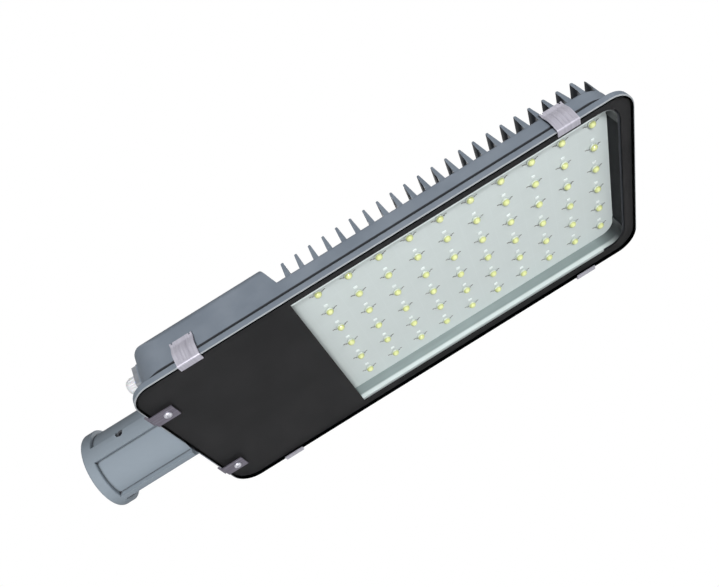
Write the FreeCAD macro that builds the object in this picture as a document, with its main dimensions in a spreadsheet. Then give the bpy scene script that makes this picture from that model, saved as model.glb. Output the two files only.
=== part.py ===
import FreeCAD, Part
import math
import os
import re
import Sketcher
from FreeCAD import Placement, Rotation, Vector

# LED street light head that slips over a 60 mm pole spigot.
# Frame: origin at the centre of the socket's mouth, +X along the lamp to its tip, +Z up to the fins.
# Heights of the lamp are counted from the pane's outer face, which lies glass_drop under the axis.

DIMENSIONS = [
    # the pole socket
    ("pole_bore", 61.0, "bore that slips over a 60 mm spigot"),
    ("bore_depth", 86.0, "how far the spigot goes in"),
    ("socket_wall", 4.0, "wall of the tube between bore and recessed panels"),
    ("rib_rise", 4.8, "collar and ribs above the recessed panels"),
    ("socket_reach", 89.2, "mouth to the rear face of the rim"),
    ("socket_root", 31.0, "how far the tube runs on under the hood"),
    ("collar_width", 10.5, "collar at the mouth"),
    ("collar_round", 1.5, "rounded outer edges of the collar"),
    ("belly_rib_angle", 11.0, "angle that the lower and the upper rib cover"),
    ("side_rib_low", 20.0, "side rib, degrees below the side line"),
    ("side_rib_high", 2.0, "side rib, degrees above the side line"),
    ("clamp_screw_x", 42.0, "clamp screws from the mouth"),
    ("clamp_hole", 8.0, "hole of a clamp screw"),
    ("clamp_length", 6.0, "length of a clamp screw"),
    ("thread_clearance", 0.1, "gap between a screw and its hole, all round"),
    # the pane and what lies on it
    ("glass_drop", 33.0, "socket axis above the pane's outer face"),
    ("glass_length", 499.4, "pane along the lamp"),
    ("glass_width", 217.0, "pane across the lamp"),
    ("glass_thick", 4.0, "toughened pane"),
    ("glass_corner", 22.0, "corner radius of the pane"),
    ("glass_gap", 0.6, "play between pane and rim"),
    ("print_thick", 0.15, "black border fired on the pane's inner face"),
    ("border_rear", 158.6, "printed border over the driver bay"),
    ("border_side", 10.5, "printed border along the sides"),
    ("border_tip", 10.4, "printed border at the tip"),
    ("window_corner", 20.0, "corner of the clear window at the tip"),
    ("gasket_thick", 1.85, "pressed height of the gasket"),
    ("gasket_width", 3.1, "width of the gasket"),
    ("edge_relief", 0.2, "print and gasket inside the pane's edge"),
    # the rim and the walls of the casting
    ("rim_lip", 1.2, "lip round the pane's edge"),
    ("rim_chamfer", 0.6, "chamfer along the lip's outer lower edge"),
    ("rim_top_chamfer", 1.0, "chamfer along the rim's outer upper edge"),
    ("rim_setback", 0.9, "rim above the pane's outer face"),
    ("rim_ledge", 2.2, "thickness of the ledge over the gasket"),
    ("groove_height", 1.7, "groove that the clips snap into"),
    ("groove_depth", 2.4, "groove behind the wall's face"),
    ("side_inset", 0.3, "side wall behind the rim's face"),
    ("rear_inset", 9.8, "rear wall in front of the rim's rear face"),
    ("tip_inset", 10.2, "tip wall behind the rim's tip"),
    ("wall_corner", 30.0, "upright corners of the walls"),
    ("plate_level", 25.8, "finned plate above the pane's outer face"),
    ("plate_thick", 3.1, "plate over the board"),
    ("plate_round", 3.0, "rounded upper edge of the walls"),
    ("side_wall", 5.0, "side walls"),
    ("rear_wall", 4.0, "rear wall"),
    ("tip_wall", 3.7, "tip wall"),
    ("room_corner", 24.0, "upright corners of the lamp chamber at the tip"),
    ("bay_corner", 19.0, "upright corners of the driver bay at the rear"),
    ("bay_length", 134.5, "driver bay along the lamp"),
    ("partition_thick", 6.5, "wall between driver bay and lamp chamber"),
    ("wire_notch", 16.0, "notch for the board's leads in that wall"),
    # the hood over the driver bay
    ("eaves_level", 50.5, "side edge of the hood above the pane's outer face"),
    ("ridge_level", 74.0, "point where the hood's two roof planes would meet"),
    ("ridge_round", 260.0, "radius that joins the roof planes"),
    ("eaves_round", 10.0, "radius along the side edges"),
    ("rear_level", 52.0, "rear edge of the hood"),
    ("crest_level", 70.0, "flat top of the hood seen from the side"),
    ("hood_lap", 5.0, "foot of the hood's front past the partition"),
    ("front_run", 8.6, "how far the front face leans back to its edge"),
    ("front_rise_run", 50.0, "from the front edge to the flat top"),
    ("rear_rise_run", 26.0, "from the rear wall to the flat top"),
    ("front_round", 16.0, "radius of the hood's front edge"),
    ("rear_round", 12.0, "radius of the hood's rear edge"),
    ("bay_ceiling", 46.0, "ceiling of the driver bay"),
    ("well_ceiling", 57.0, "ceiling of the hollow under the hood's top"),
    ("well_width", 90.0, "width of that hollow"),
    ("well_start", 22.0, "hollow from the bay's rear face"),
    ("well_length", 78.0, "length of that hollow"),
    # the fins
    ("fin_count", 23.0, "fins across the plate"),
    ("fin_pitch", 14.19, "from fin to fin"),
    ("fin_lead", 12.0, "foot of the hood to the first fin"),
    ("fin_rise", 16.0, "first and last fins above the plate"),
    ("fin_arch", 4.5, "what the middle fins stand higher"),
    ("fin_root", 5.2, "thickness at the plate"),
    ("fin_tip", 2.2, "thickness at the top"),
    ("fin_lean", 2.6, "how far the ends lean in"),
    ("fin_end_inset", 0.3, "ends behind the wall's face"),
    ("fin_sink", 2.0, "root below the plate's face"),
    ("fin_edge_chamfer", 0.7, "chamfered long edges at the top"),
    # the board and its emitters
    ("pad_thick", 0.4, "heat-conducting pad"),
    ("board_thick", 1.6, "aluminium board"),
    ("board_play", 0.7, "board to the tip wall"),
    ("board_rear_play", 2.0, "board to the partition"),
    ("board_width", 194.0, "board across the lamp"),
    ("board_corner", 16.0, "board corners"),
    ("pad_relief", 0.5, "pad inside the board's edge"),
    ("led_columns", 10.0, "emitters along the lamp"),
    ("led_rows", 6.0, "emitters across the lamp"),
    ("led_lead_in", 29.0, "partition to the first column"),
    ("led_pitch_along", 32.0, "columns"),
    ("led_pitch_across", 29.6, "rows"),
    ("led_frame_length", 14.6, "lead frame over both leads"),
    ("led_frame_width", 1.6, "width of a lead"),
    ("led_frame_thick", 0.4, "thickness of a lead"),
    ("led_body_dia", 8.0, "emitter body across its corners"),
    ("led_body_height", 1.8, "emitter body"),
    ("led_lens_dia", 6.8, "silicone lens"),
    ("led_lens_height", 3.0, "silicone lens"),
    ("led_lens_slope", 24.0, "how far the lens's sides lean in, degrees"),
    # the bright strips along the chamber
    ("strip_sheet", 0.8, "aluminium sheet of the strips"),
    ("strip_half", 95.0, "inner face of a strip from the middle"),
    ("strip_level", 5.2, "lower face of the strips' flange"),
    ("strip_corner", 14.0, "bend round the tip corner"),
    ("strip_return", 21.0, "strip past the corner, from its inner face"),
    ("strip_tip_play", 0.5, "strip to the tip wall"),
    ("strip_rear_play", 3.0, "strip to the partition"),
    ("flange_end", 24.5, "flange ends before the tip wall"),
    ("flange_play", 0.3, "flange to the side wall"),
    # spring clips
    ("clip_width", 22.0, "clip along the lamp"),
    ("clip_sheet", 1.0, "spring sheet"),
    ("clip_lap", 3.0, "lip over the pane"),
    ("clip_standoff", 1.3, "web outside the rim"),
    ("clip_bulge", 2.8, "arch of the web"),
    ("clip_bulge_level", 12.0, "crown of the arch"),
    ("clip_waist_level", 21.5, "waist under the flared top"),
    ("clip_waist", 0.1, "waist outside the foot of the web"),
    ("clip_flare", 0.9, "flare of the top"),
    ("clip_top_level", 25.6, "top of the clip"),
    ("clip_tongue_width", 14.0, "tongue that snaps into the groove"),
    ("clip_play", 0.2, "tongue to the faces of the groove"),
    ("rear_clip_inset", 63.6, "rear clips in front of the pane's rear edge"),
    ("front_clip_inset", 63.8, "front clips behind the pane's tip"),
    # hinge tabs at the pane's rear edge
    ("tab_offset", 66.0, "tabs from the middle"),
    ("tab_width", 16.5, "tab across the lamp"),
    ("tab_length", 22.4, "tab over the pane"),
    ("tab_sheet", 1.2, "sheet of the tab"),
    ("tab_hook_play", 0.3, "hook in its slot through the lip, and behind the pane's edge"),
    ("tab_hook_level", 2.4, "underside of the hook"),
    ("tab_hook_reach", 3.0, "hook past the rim's rear face"),
    ("tab_screw_inset", 13.6, "screw from the pane's rear edge"),
    ("tab_screw_dia", 4.0, "screw of a tab"),
    ("tab_screw_reach", 14.0, "screw's end above the pane's outer face"),
    ("tab_head_dia", 7.6, "pan head"),
    ("tab_head_height", 2.4, "pan head"),
    ("boss_dia", 10.8, "boss that takes the tab's screw"),
    ("boss_hole_spare", 2.0, "hole past the screw's end"),
    ("bush_dia", 10.0, "rubber bush between pane and boss"),
    ("pane_hole_play", 0.3, "play of the screw in the pane"),
    # cable gland in the rear wall
    ("gland_offset", 78.5, "gland from the middle"),
    ("gland_level", 38.0, "gland above the pane's outer face"),
    ("flange_side", 22.0, "square flange"),
    ("flange_thick", 4.5, "square flange"),
    ("gland_seat", 23.0, "flat seat of the flange, cast on the rounded corner"),
    ("gland_thread_dia", 12.0, "threaded stem"),
    ("gland_hole_play", 0.2, "stem in its hole"),
    ("cable_bore", 7.0, "hole for the cable"),
    ("gland_nut_dia", 16.0, "dome nut"),
    ("gland_nut_length", 12.0, "dome nut"),
    ("gland_nut_wall", 1.4, "end wall of the dome nut"),
    ("seal_length", 9.0, "rubber seal in the nut"),
    ("seal_play", 0.1, "seal in the nut"),
    ("locknut_dia", 15.0, "locknut inside the bay"),
    ("locknut_thick", 4.0, "locknut inside the bay"),
    # driver, terminals and earth screw
    ("driver_length", 112.0, "driver case with its ears"),
    ("driver_width", 52.0, "driver case"),
    ("driver_height", 32.0, "driver case"),
    ("driver_ear", 9.0, "mounting ear at each end"),
    ("ear_thick", 2.0, "mounting ear"),
    ("driver_start", 11.0, "driver from the bay's rear face"),
    ("driver_screw_dia", 4.0, "driver screws"),
    ("driver_screw_length", 5.0, "driver screws in the ceiling"),
    ("driver_head_dia", 7.0, "driver screw heads"),
    ("driver_head_height", 2.6, "driver screw heads"),
    ("terminal_offset", 72.0, "terminal block from the middle"),
    ("terminal_start", 24.0, "terminal block from the bay's rear face"),
    ("terminal_length", 36.0, "terminal block"),
    ("terminal_width", 20.0, "terminal block"),
    ("terminal_height", 17.0, "terminal block"),
    ("terminal_poles", 3.0, "wire entries of the block"),
    ("terminal_entry", 4.0, "side of a wire entry"),
    ("earth_offset", 72.0, "earth screw from the middle"),
    ("earth_start", 40.0, "earth screw from the bay's rear face"),
]

doc = FreeCAD.newDocument("StreetLightHead")
sheet = doc.addObject("Spreadsheet::Sheet", "Dims")
for row, (alias, value, note) in enumerate(DIMENSIONS, start=1):
    sheet.set(f"A{row}", alias)
    sheet.set(f"B{row}", str(value))
    sheet.set(f"C{row}", note)
    sheet.setAlias(f"B{row}", alias)
doc.recompute()


def bound(text):
    """An expression in which every size is read from the sheet."""
    return re.sub(r"\b[a-z]+(?:_[a-z]+)+\b", r"Dims.\g<0>", text)


def number(text):
    """The value of such an expression now."""
    return float(sheet.evalExpression(bound(text)))


# Places that several pieces share, written with the sheet's sizes.
PANE = "(-glass_drop)"
TUBE_RADIUS = "(pole_bore / 2 + socket_wall)"
COLLAR_RADIUS = "(pole_bore / 2 + socket_wall + rib_rise)"
PANE_REAR = "(socket_reach + rim_lip + glass_gap)"
PANE_TIP = f"({PANE_REAR} + glass_length)"
PANE_HALF = "(glass_width / 2)"
RIM_HALF = f"({PANE_HALF} + glass_gap + rim_lip)"
RIM_TIP = f"({PANE_TIP} + glass_gap + rim_lip)"
FLOOR = f"({PANE} + glass_thick + print_thick + gasket_thick)"
RIM_TOP = f"({FLOOR} + rim_ledge)"
WALL_FOOT = f"({RIM_TOP} + groove_height)"
PLATE = f"({PANE} + plate_level)"
CEILING = f"({PLATE} - plate_thick)"
WALL_HALF = f"({RIM_HALF} - side_inset)"
WALL_REAR = "(socket_reach + rear_inset)"
WALL_TIP = f"({RIM_TIP} - tip_inset)"
ROOM_HALF = f"({WALL_HALF} - side_wall)"
BAY_REAR = f"({WALL_REAR} + rear_wall)"
BAY_FRONT = f"({BAY_REAR} + bay_length)"
BAY_CEILING = f"({PANE} + bay_ceiling)"
CHAMBER_REAR = f"({BAY_FRONT} + partition_thick)"
CHAMBER_TIP = f"({WALL_TIP} - tip_wall)"
HOOD_FOOT = f"({CHAMBER_REAR} + hood_lap)"
FIN_START = f"({HOOD_FOOT} + fin_lead)"
FIN_SPAN = "((fin_count - 1) * fin_pitch)"
FIN_TOP = f"({PLATE} + fin_rise)"
BOARD_FACE = f"({CEILING} - pad_thick - board_thick)"
FRAME_FACE = f"({BOARD_FACE} - led_frame_thick)"
EMITTER_FACE = f"({FRAME_FACE} - led_body_height)"
TAB_SCREW = f"({PANE_REAR} + tab_screw_inset)"
GLAND_LEVEL = f"({PANE} + gland_level)"


def new_body(name):
    """An empty body of the document."""
    body = doc.addObject("PartDesign::Body", name)
    body.Label = name
    return body


def new_sketch(body, name, role, offset="0"):
    """A sketch on one of the body's own origin planes, moved along the plane's normal."""
    sketch = body.newObject("Sketcher::SketchObject", name)
    plane = [part for part in body.Origin.OriginFeatures if part.Role == role][0]
    sketch.AttachmentSupport = [(plane, "")]
    sketch.MapMode = "FlatFace"
    sketch.AttachmentOffset = Placement(Vector(0, 0, number(offset)), Rotation())
    sketch.setExpression("AttachmentOffset.Base.z", bound(offset))
    return sketch


def hold(sketch, constraints):
    """Adds constraints, and binds the ones that come with an expression."""
    for constraint, expression in constraints:
        index = sketch.addConstraint(constraint)
        if expression:
            sketch.setExpression(f"Constraints[{index}]", bound(expression))


def at(geometry, vertex, across, up):
    """Constraints that put one point of a sketch at its place."""
    return [
        (Sketcher.Constraint("DistanceX", -1, 1, geometry, vertex, number(across)), across),
        (Sketcher.Constraint("DistanceY", -1, 1, geometry, vertex, number(up)), up),
    ]


def outline(sketch, corners):
    """A closed outline through corners (across, up, radius), sharp where the radius is None."""
    points = [Vector(number(across), number(up), 0) for across, up, radius in corners]
    count = len(corners)
    entries, exits, middles = [], [], []
    for k, (across, up, radius) in enumerate(corners):
        point = points[k]
        back = (points[k - 1] - point).normalize()
        ahead = (points[(k + 1) % count] - point).normalize()
        if radius is None:
            entries.append(point)
            exits.append(point)
            middles.append(None)
            continue
        half = back.getAngle(ahead) / 2
        size = number(radius)
        inward = (back + ahead).normalize()
        entries.append(point + back * (size / math.tan(half)))
        exits.append(point + ahead * (size / math.tan(half)))
        middles.append(point + inward * (size / math.sin(half) - size))
    lines = [
        sketch.addGeometry(Part.LineSegment(exits[k], entries[(k + 1) % count]), False)
        for k in range(count)
    ]
    held = []
    for k, (across, up, radius) in enumerate(corners):
        before, after = lines[k - 1], lines[k]
        if radius is None:
            held.append((Sketcher.Constraint("Coincident", before, 2, after, 1), None))
            held += at(after, 1, across, up)
            continue
        arc = sketch.addGeometry(Part.Arc(entries[k], middles[k], exits[k]), False)
        starts_here = sketch.getPoint(arc, 1).distanceToPoint(entries[k]) < 1e-6
        first, last = (1, 2) if starts_here else (2, 1)
        corner = sketch.addGeometry(Part.Point(points[k]), True)
        held.append((Sketcher.Constraint("Tangent", before, 2, arc, first), None))
        held.append((Sketcher.Constraint("Tangent", after, 1, arc, last), None))
        held.append((Sketcher.Constraint("Radius", arc, number(radius)), radius))
        held.append((Sketcher.Constraint("PointOnObject", corner, 1, before), None))
        held.append((Sketcher.Constraint("PointOnObject", corner, 1, after), None))
        held += at(corner, 1, across, up)
    hold(sketch, held)


def rounded_field(sketch, start, end, half, rear_radius, tip_radius):
    """A field about the lamp's middle line with its own corner radii at the rear and the tip."""
    outline(sketch, [
        (start, f"-{half}", rear_radius),
        (end, f"-{half}", tip_radius),
        (end, half, tip_radius),
        (start, half, rear_radius),
    ])


def circle(sketch, across, up, radius):
    """A full circle."""
    place = Vector(number(across), number(up), 0)
    ring = sketch.addGeometry(Part.Circle(place, Vector(0, 0, 1), number(radius)), False)
    held = [(Sketcher.Constraint("Radius", ring, number(radius)), radius)]
    hold(sketch, held + at(ring, 3, across, up))


def sector(sketch, inner, outer, low, high):
    """Part of a ring about the sketch's origin, between two angles in degrees."""
    corners = []
    for radius in (inner, outer):
        corners.append([
            (f"{radius} * cos({angle} * 1 deg)", f"{radius} * sin({angle} * 1 deg)")
            for angle in (low, high)
        ])
    points = [[Vector(number(x), number(y), 0) for x, y in pair] for pair in corners]
    arcs = []
    held = []
    for radius, pair in zip((inner, outer), points):
        turn = (math.radians(number(low)), math.radians(number(high)))
        ring = Part.Circle(Vector(0, 0, 0), Vector(0, 0, 1), number(radius))
        arc = sketch.addGeometry(Part.ArcOfCircle(ring, *turn), False)
        arcs.append(arc)
        held.append((Sketcher.Constraint("Coincident", arc, 3, -1, 1), None))
        held.append((Sketcher.Constraint("Radius", arc, number(radius)), radius))
    for side in (0, 1):
        line = sketch.addGeometry(Part.LineSegment(points[0][side], points[1][side]), False)
        held.append((Sketcher.Constraint("Coincident", line, 1, arcs[0], side + 1), None))
        held.append((Sketcher.Constraint("Coincident", line, 2, arcs[1], side + 1), None))
        held.append((Sketcher.Constraint("PointOnObject", -1, 1, line), None))
        across, up = corners[1][side]
        upright = abs(points[1][side].y) > abs(points[1][side].x)
        kind, expression = ("DistanceX", across) if upright else ("DistanceY", up)
        held.append((Sketcher.Constraint(kind, -1, 1, line, 2, number(expression)), expression))
    hold(sketch, held)


def feature(body, kind, sketch, length, towards="forward"):
    """A Pad or a Pocket of the sketch: forward, backward or to both sides of its plane."""
    step = body.newObject(f"PartDesign::{kind}", f"{kind}_{sketch.Name}")
    step.Profile = sketch
    step.Length = number(length)
    step.setExpression("Length", bound(length))
    if towards == "both":
        step.SideType = "Symmetric"
    step.Reversed = towards == ("forward" if kind == "Pocket" else "backward")
    body.Tip = step
    doc.recompute()
    return step


def revolve(body, sketch, axis):
    """A full turn of the sketch about one of its own axes."""
    step = body.newObject("PartDesign::Revolution", f"Turn_{sketch.Name}")
    step.Profile = sketch
    step.ReferenceAxis = (sketch, [axis])
    step.Angle = 360
    body.Tip = step
    doc.recompute()
    return step


def dress_edges(body, kind, name, size, chosen):
    """A Fillet or a Chamfer on the edges of the body's last shape that the test picks."""
    base = body.Tip
    edges = [f"Edge{k + 1}" for k, edge in enumerate(base.Shape.Edges) if chosen(edge)]
    step = body.newObject(f"PartDesign::{kind}", name)
    step.Base = (base, edges)
    prop = "Radius" if kind == "Fillet" else "Size"
    setattr(step, prop, number(size))
    step.setExpression(prop, bound(size))
    body.Tip = step
    doc.recompute()
    return step


def place(part, x, y, z, rotation=Rotation()):
    """Sets a part's place and binds it to the sheet."""
    part.Placement = Placement(Vector(number(x), number(y), number(z)), rotation)
    for axis, expression in (("x", x), ("y", y), ("z", z)):
        part.setExpression(f"Placement.Base.{axis}", bound(expression))


def join(name, parts):
    """One piece of several overlapping ones."""
    piece = doc.addObject("Part::MultiFuse", name)
    piece.Label = name
    piece.Shapes = parts
    piece.Refine = True
    return piece


def casting():
    """Rim, walls, plate, hood, pole socket and the hollows of the die casting."""
    body = new_body("casting")

    rim = new_sketch(body, "RimOutline", "XY_Plane", f"{PANE} + rim_setback")
    corner = "glass_corner + glass_gap + rim_lip"
    rounded_field(rim, "socket_reach", RIM_TIP, RIM_HALF, corner, corner)
    feature(body, "Pad", rim, f"{RIM_TOP} - {PANE} - rim_setback")
    low_edge = number(f"{PANE} + rim_setback")
    dress_edges(body, "Chamfer", "LipEdge", "rim_chamfer",
                lambda edge: all(abs(v.Z - low_edge) < 1e-4 for v in edge.Vertexes))
    high_edge = number(RIM_TOP)
    dress_edges(body, "Chamfer", "RimEdge", "rim_top_chamfer",
                lambda edge: all(abs(v.Z - high_edge) < 1e-4 for v in edge.Vertexes))

    neck = new_sketch(body, "NeckOutline", "XY_Plane", f"{RIM_TOP} - 1")
    corner = "wall_corner - groove_depth"
    rounded_field(neck, f"{WALL_REAR} + groove_depth", f"{WALL_TIP} - groove_depth",
                  f"({WALL_HALF} - groove_depth)", corner, corner)
    feature(body, "Pad", neck, "groove_height + 2")

    wall = new_sketch(body, "WallOutline", "XY_Plane", WALL_FOOT)
    rounded_field(wall, WALL_REAR, WALL_TIP, WALL_HALF, "wall_corner", "wall_corner")
    feature(body, "Pad", wall, f"{PLATE} - {WALL_FOOT}")
    top = number(PLATE)
    dress_edges(body, "Fillet", "PlateEdge", "plate_round",
                lambda edge: all(abs(v.Z - top) < 1e-4 for v in edge.Vertexes))

    # The hood is a side profile across the whole width, trimmed to the plan and to the roof line.
    low = f"{PLATE} - plate_round - 1"
    front = f"({HOOD_FOOT} - front_run)"
    lean = f"(front_run / (eaves_level - plate_level) * (plate_round + 1))"
    hood = new_sketch(body, "HoodSide", "XZ_Plane")
    outline(hood, [
        (WALL_REAR, low, None),
        (WALL_REAR, f"{PANE} + rear_level", "rear_round"),
        (f"{WALL_REAR} + rear_rise_run", f"{PANE} + crest_level", "rear_rise_run"),
        (f"{front} - front_rise_run", f"{PANE} + crest_level", "front_rise_run"),
        (front, f"{PANE} + eaves_level", "front_round"),
        (f"{HOOD_FOOT} + {lean}", low, None),
    ])
    feature(body, "Pad", hood, f"2 * {WALL_HALF}", "both")

    plan = new_sketch(body, "HoodPlan", "XY_Plane", PLATE)
    rounded_field(plan, WALL_REAR, WALL_TIP, WALL_HALF, "wall_corner", "wall_corner")
    rounded_field(plan, f"{WALL_REAR} - 30", f"{WALL_TIP} + 30", f"({WALL_HALF} + 30)", "5", "5")
    feature(body, "Pocket", plan, "crest_level")
    skirt = new_sketch(body, "SkirtPlan", "XY_Plane", f"{PLATE} + 0.01")
    rounded_field(skirt, WALL_REAR, WALL_TIP, WALL_HALF, "wall_corner", "wall_corner")
    rounded_field(skirt, f"{WALL_REAR} - 30", f"{WALL_TIP} + 30", f"({WALL_HALF} + 30)", "5", "5")
    feature(body, "Pocket", skirt, "plate_round + 1.01", "backward")

    roof = new_sketch(body, "RoofLine", "YZ_Plane", f"{WALL_REAR} - 5")
    outline(roof, [
        (f"-{WALL_HALF}", f"{PANE} + eaves_level", "eaves_round"),
        ("0", f"{PANE} + ridge_level", "ridge_round"),
        (WALL_HALF, f"{PANE} + eaves_level", "eaves_round"),
        (WALL_HALF, f"{PLATE} + 2", None),
        (f"{WALL_HALF} + 20", f"{PLATE} + 2", None),
        (f"{WALL_HALF} + 20", f"{PANE} + ridge_level + 20", None),
        (f"-{WALL_HALF} - 20", f"{PANE} + ridge_level + 20", None),
        (f"-{WALL_HALF} - 20", f"{PLATE} + 2", None),
        (f"-{WALL_HALF}", f"{PLATE} + 2", None),
    ])
    feature(body, "Pocket", roof, f"{HOOD_FOOT} - {WALL_REAR} + 20", "forward")

    # The gland's flat seat, which fills the rounded corner behind the flange.
    gland_pad = new_sketch(body, "GlandSeat", "YZ_Plane", WALL_REAR)
    outline(gland_pad, [
        (f"-gland_offset {y} gland_seat / 2", f"{GLAND_LEVEL} {z} gland_seat / 2",
         "gland_seat / 12")
        for y, z in (("-", "-"), ("+", "-"), ("+", "+"), ("-", "+"))
    ])
    feature(body, "Pad", gland_pad, "rear_wall")

    # The tube with its collar, and the ribs that stand between four recessed panels.
    tube = new_sketch(body, "SocketSection", "XZ_Plane")
    root = "(socket_reach + socket_root)"
    outline(tube, [
        ("0", "0", None),
        ("0", f"{COLLAR_RADIUS} - collar_round", None),
        ("collar_round / 3.4", f"{COLLAR_RADIUS} - collar_round / 3.4", None),
        ("collar_round", COLLAR_RADIUS, None),
        ("collar_width - collar_round / 2", COLLAR_RADIUS, None),
        ("collar_width", f"{COLLAR_RADIUS} - collar_round / 2", None),
        ("collar_width", TUBE_RADIUS, None),
        (root, TUBE_RADIUS, None),
        (root, "0", None),
    ])
    revolve(body, tube, "H_Axis")
    ribs = (
        ("LowerRib", "270 - belly_rib_angle / 2", "270 + belly_rib_angle / 2"),
        ("UpperRib", "90 - belly_rib_angle / 2", "90 + belly_rib_angle / 2"),
        ("NearRib", "180 - side_rib_high", "180 + side_rib_low"),
        ("FarRib", "-side_rib_low", "side_rib_high"),
    )
    for name, first, last in ribs:
        rib = new_sketch(body, name, "YZ_Plane", "collar_width / 2")
        sector(rib, f"({TUBE_RADIUS} - 1)", COLLAR_RADIUS, f"({first})", f"({last})")
        feature(body, "Pad", rib, f"{WALL_REAR} + rear_wall - collar_width / 2")

    # Hollows: the pane's seat, the lamp chamber, the driver bay and the well under the hood's top.
    seat = new_sketch(body, "PaneSeat", "XY_Plane", FLOOR)
    corner = "glass_corner + glass_gap"
    rounded_field(seat, "socket_reach + rim_lip", f"{PANE_TIP} + glass_gap",
                  f"({PANE_HALF} + glass_gap)", corner, corner)
    feature(body, "Pocket", seat, COLLAR_RADIUS, "backward")
    chamber = new_sketch(body, "Chamber", "XY_Plane", FLOOR)
    rounded_field(chamber, CHAMBER_REAR, CHAMBER_TIP, ROOM_HALF, "bay_corner / 4", "room_corner")
    feature(body, "Pocket", chamber, f"{CEILING} - {FLOOR}")
    bay = new_sketch(body, "DriverBay", "XY_Plane", FLOOR)
    rounded_field(bay, BAY_REAR, BAY_FRONT, ROOM_HALF, "bay_corner", "bay_corner / 4")
    feature(body, "Pocket", bay, f"{BAY_CEILING} - {FLOOR}")
    well = new_sketch(body, "HoodWell", "XY_Plane", f"{BAY_CEILING} - 1")
    rounded_field(well, f"{BAY_REAR} + well_start", f"{BAY_REAR} + well_start + well_length",
                  "(well_width / 2)", "bay_corner / 2", "bay_corner / 2")
    feature(body, "Pocket", well, f"{PANE} + well_ceiling - {BAY_CEILING} + 1")
    notch = new_sketch(body, "WireNotch", "XY_Plane", FLOOR)
    rounded_field(notch, f"{BAY_FRONT} - 1", f"{CHAMBER_REAR} + 1", "(wire_notch / 2)", None, None)
    feature(body, "Pocket", notch, "wire_notch / 2")

    # Bosses for the tab screws, with their blind holes.
    bosses = new_sketch(body, "Bosses", "XY_Plane", FLOOR)
    holes = new_sketch(body, "BossHoles", "XY_Plane", FLOOR)
    for side in ("-tab_offset", "tab_offset"):
        circle(bosses, TAB_SCREW, side, "boss_dia / 2")
        circle(holes, TAB_SCREW, side, "tab_screw_dia / 2 + thread_clearance")
    feature(body, "Pad", bosses, f"{BAY_CEILING} - {FLOOR}")
    feature(body, "Pocket", holes, f"{PANE} + tab_screw_reach + boss_hole_spare - {FLOOR}")

    slots = new_sketch(body, "HookSlots", "YZ_Plane", "socket_reach - 1")
    for side in ("-tab_offset", "tab_offset"):
        half = "(tab_width / 2 + tab_hook_play)"
        top = f"{PANE} + tab_hook_level + tab_sheet + tab_hook_play"
        outline(slots, [
            (f"{side} - {half}", f"{PANE} - 1", None),
            (f"{side} + {half}", f"{PANE} - 1", None),
            (f"{side} + {half}", top, None),
            (f"{side} - {half}", top, None),
        ])
    feature(body, "Pocket", slots, "rim_lip + 1.5", "forward")

    # The bore, the clamp screw holes, the gland's hole and the tapped holes of the driver bay.
    bore = new_sketch(body, "Bore", "YZ_Plane")
    circle(bore, "0", "0", "pole_bore / 2")
    feature(body, "Pocket", bore, "bore_depth", "forward")
    clamp = new_sketch(body, "ClampHoles", "XZ_Plane")
    circle(clamp, "clamp_screw_x", "0", "clamp_hole / 2")
    feature(body, "Pocket", clamp, f"4 * {COLLAR_RADIUS}", "both")
    gland = new_sketch(body, "GlandHole", "YZ_Plane", f"{WALL_REAR} - 1")
    circle(gland, "-gland_offset", GLAND_LEVEL, "gland_thread_dia / 2 + gland_hole_play")
    feature(body, "Pocket", gland, "rear_wall + 2", "forward")
    for k, side in enumerate(("-1", "1")):
        head = new_sketch(body, f"DriverHole{k + 1}", "XY_Plane", f"{BAY_CEILING} - 1")
        circle(head, driver_screw_x(side), "0", "driver_screw_dia / 2 + thread_clearance")
        feature(body, "Pocket", head, "driver_screw_length + 2")
    earth = new_sketch(body, "EarthHole", "XY_Plane", f"{BAY_CEILING} - 1")
    circle(earth, f"{BAY_REAR} + earth_start", "earth_offset",
           "driver_screw_dia / 2 + thread_clearance")
    feature(body, "Pocket", earth, "driver_screw_length / 2 + 1")
    return body


def driver_screw_x(side):
    """Place of the driver's screw at its rear (-1) or front (1) ear."""
    middle = f"({BAY_REAR} + driver_start + driver_length / 2)"
    return f"({middle} + ({side}) * (driver_length - driver_ear) / 2)"


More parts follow.
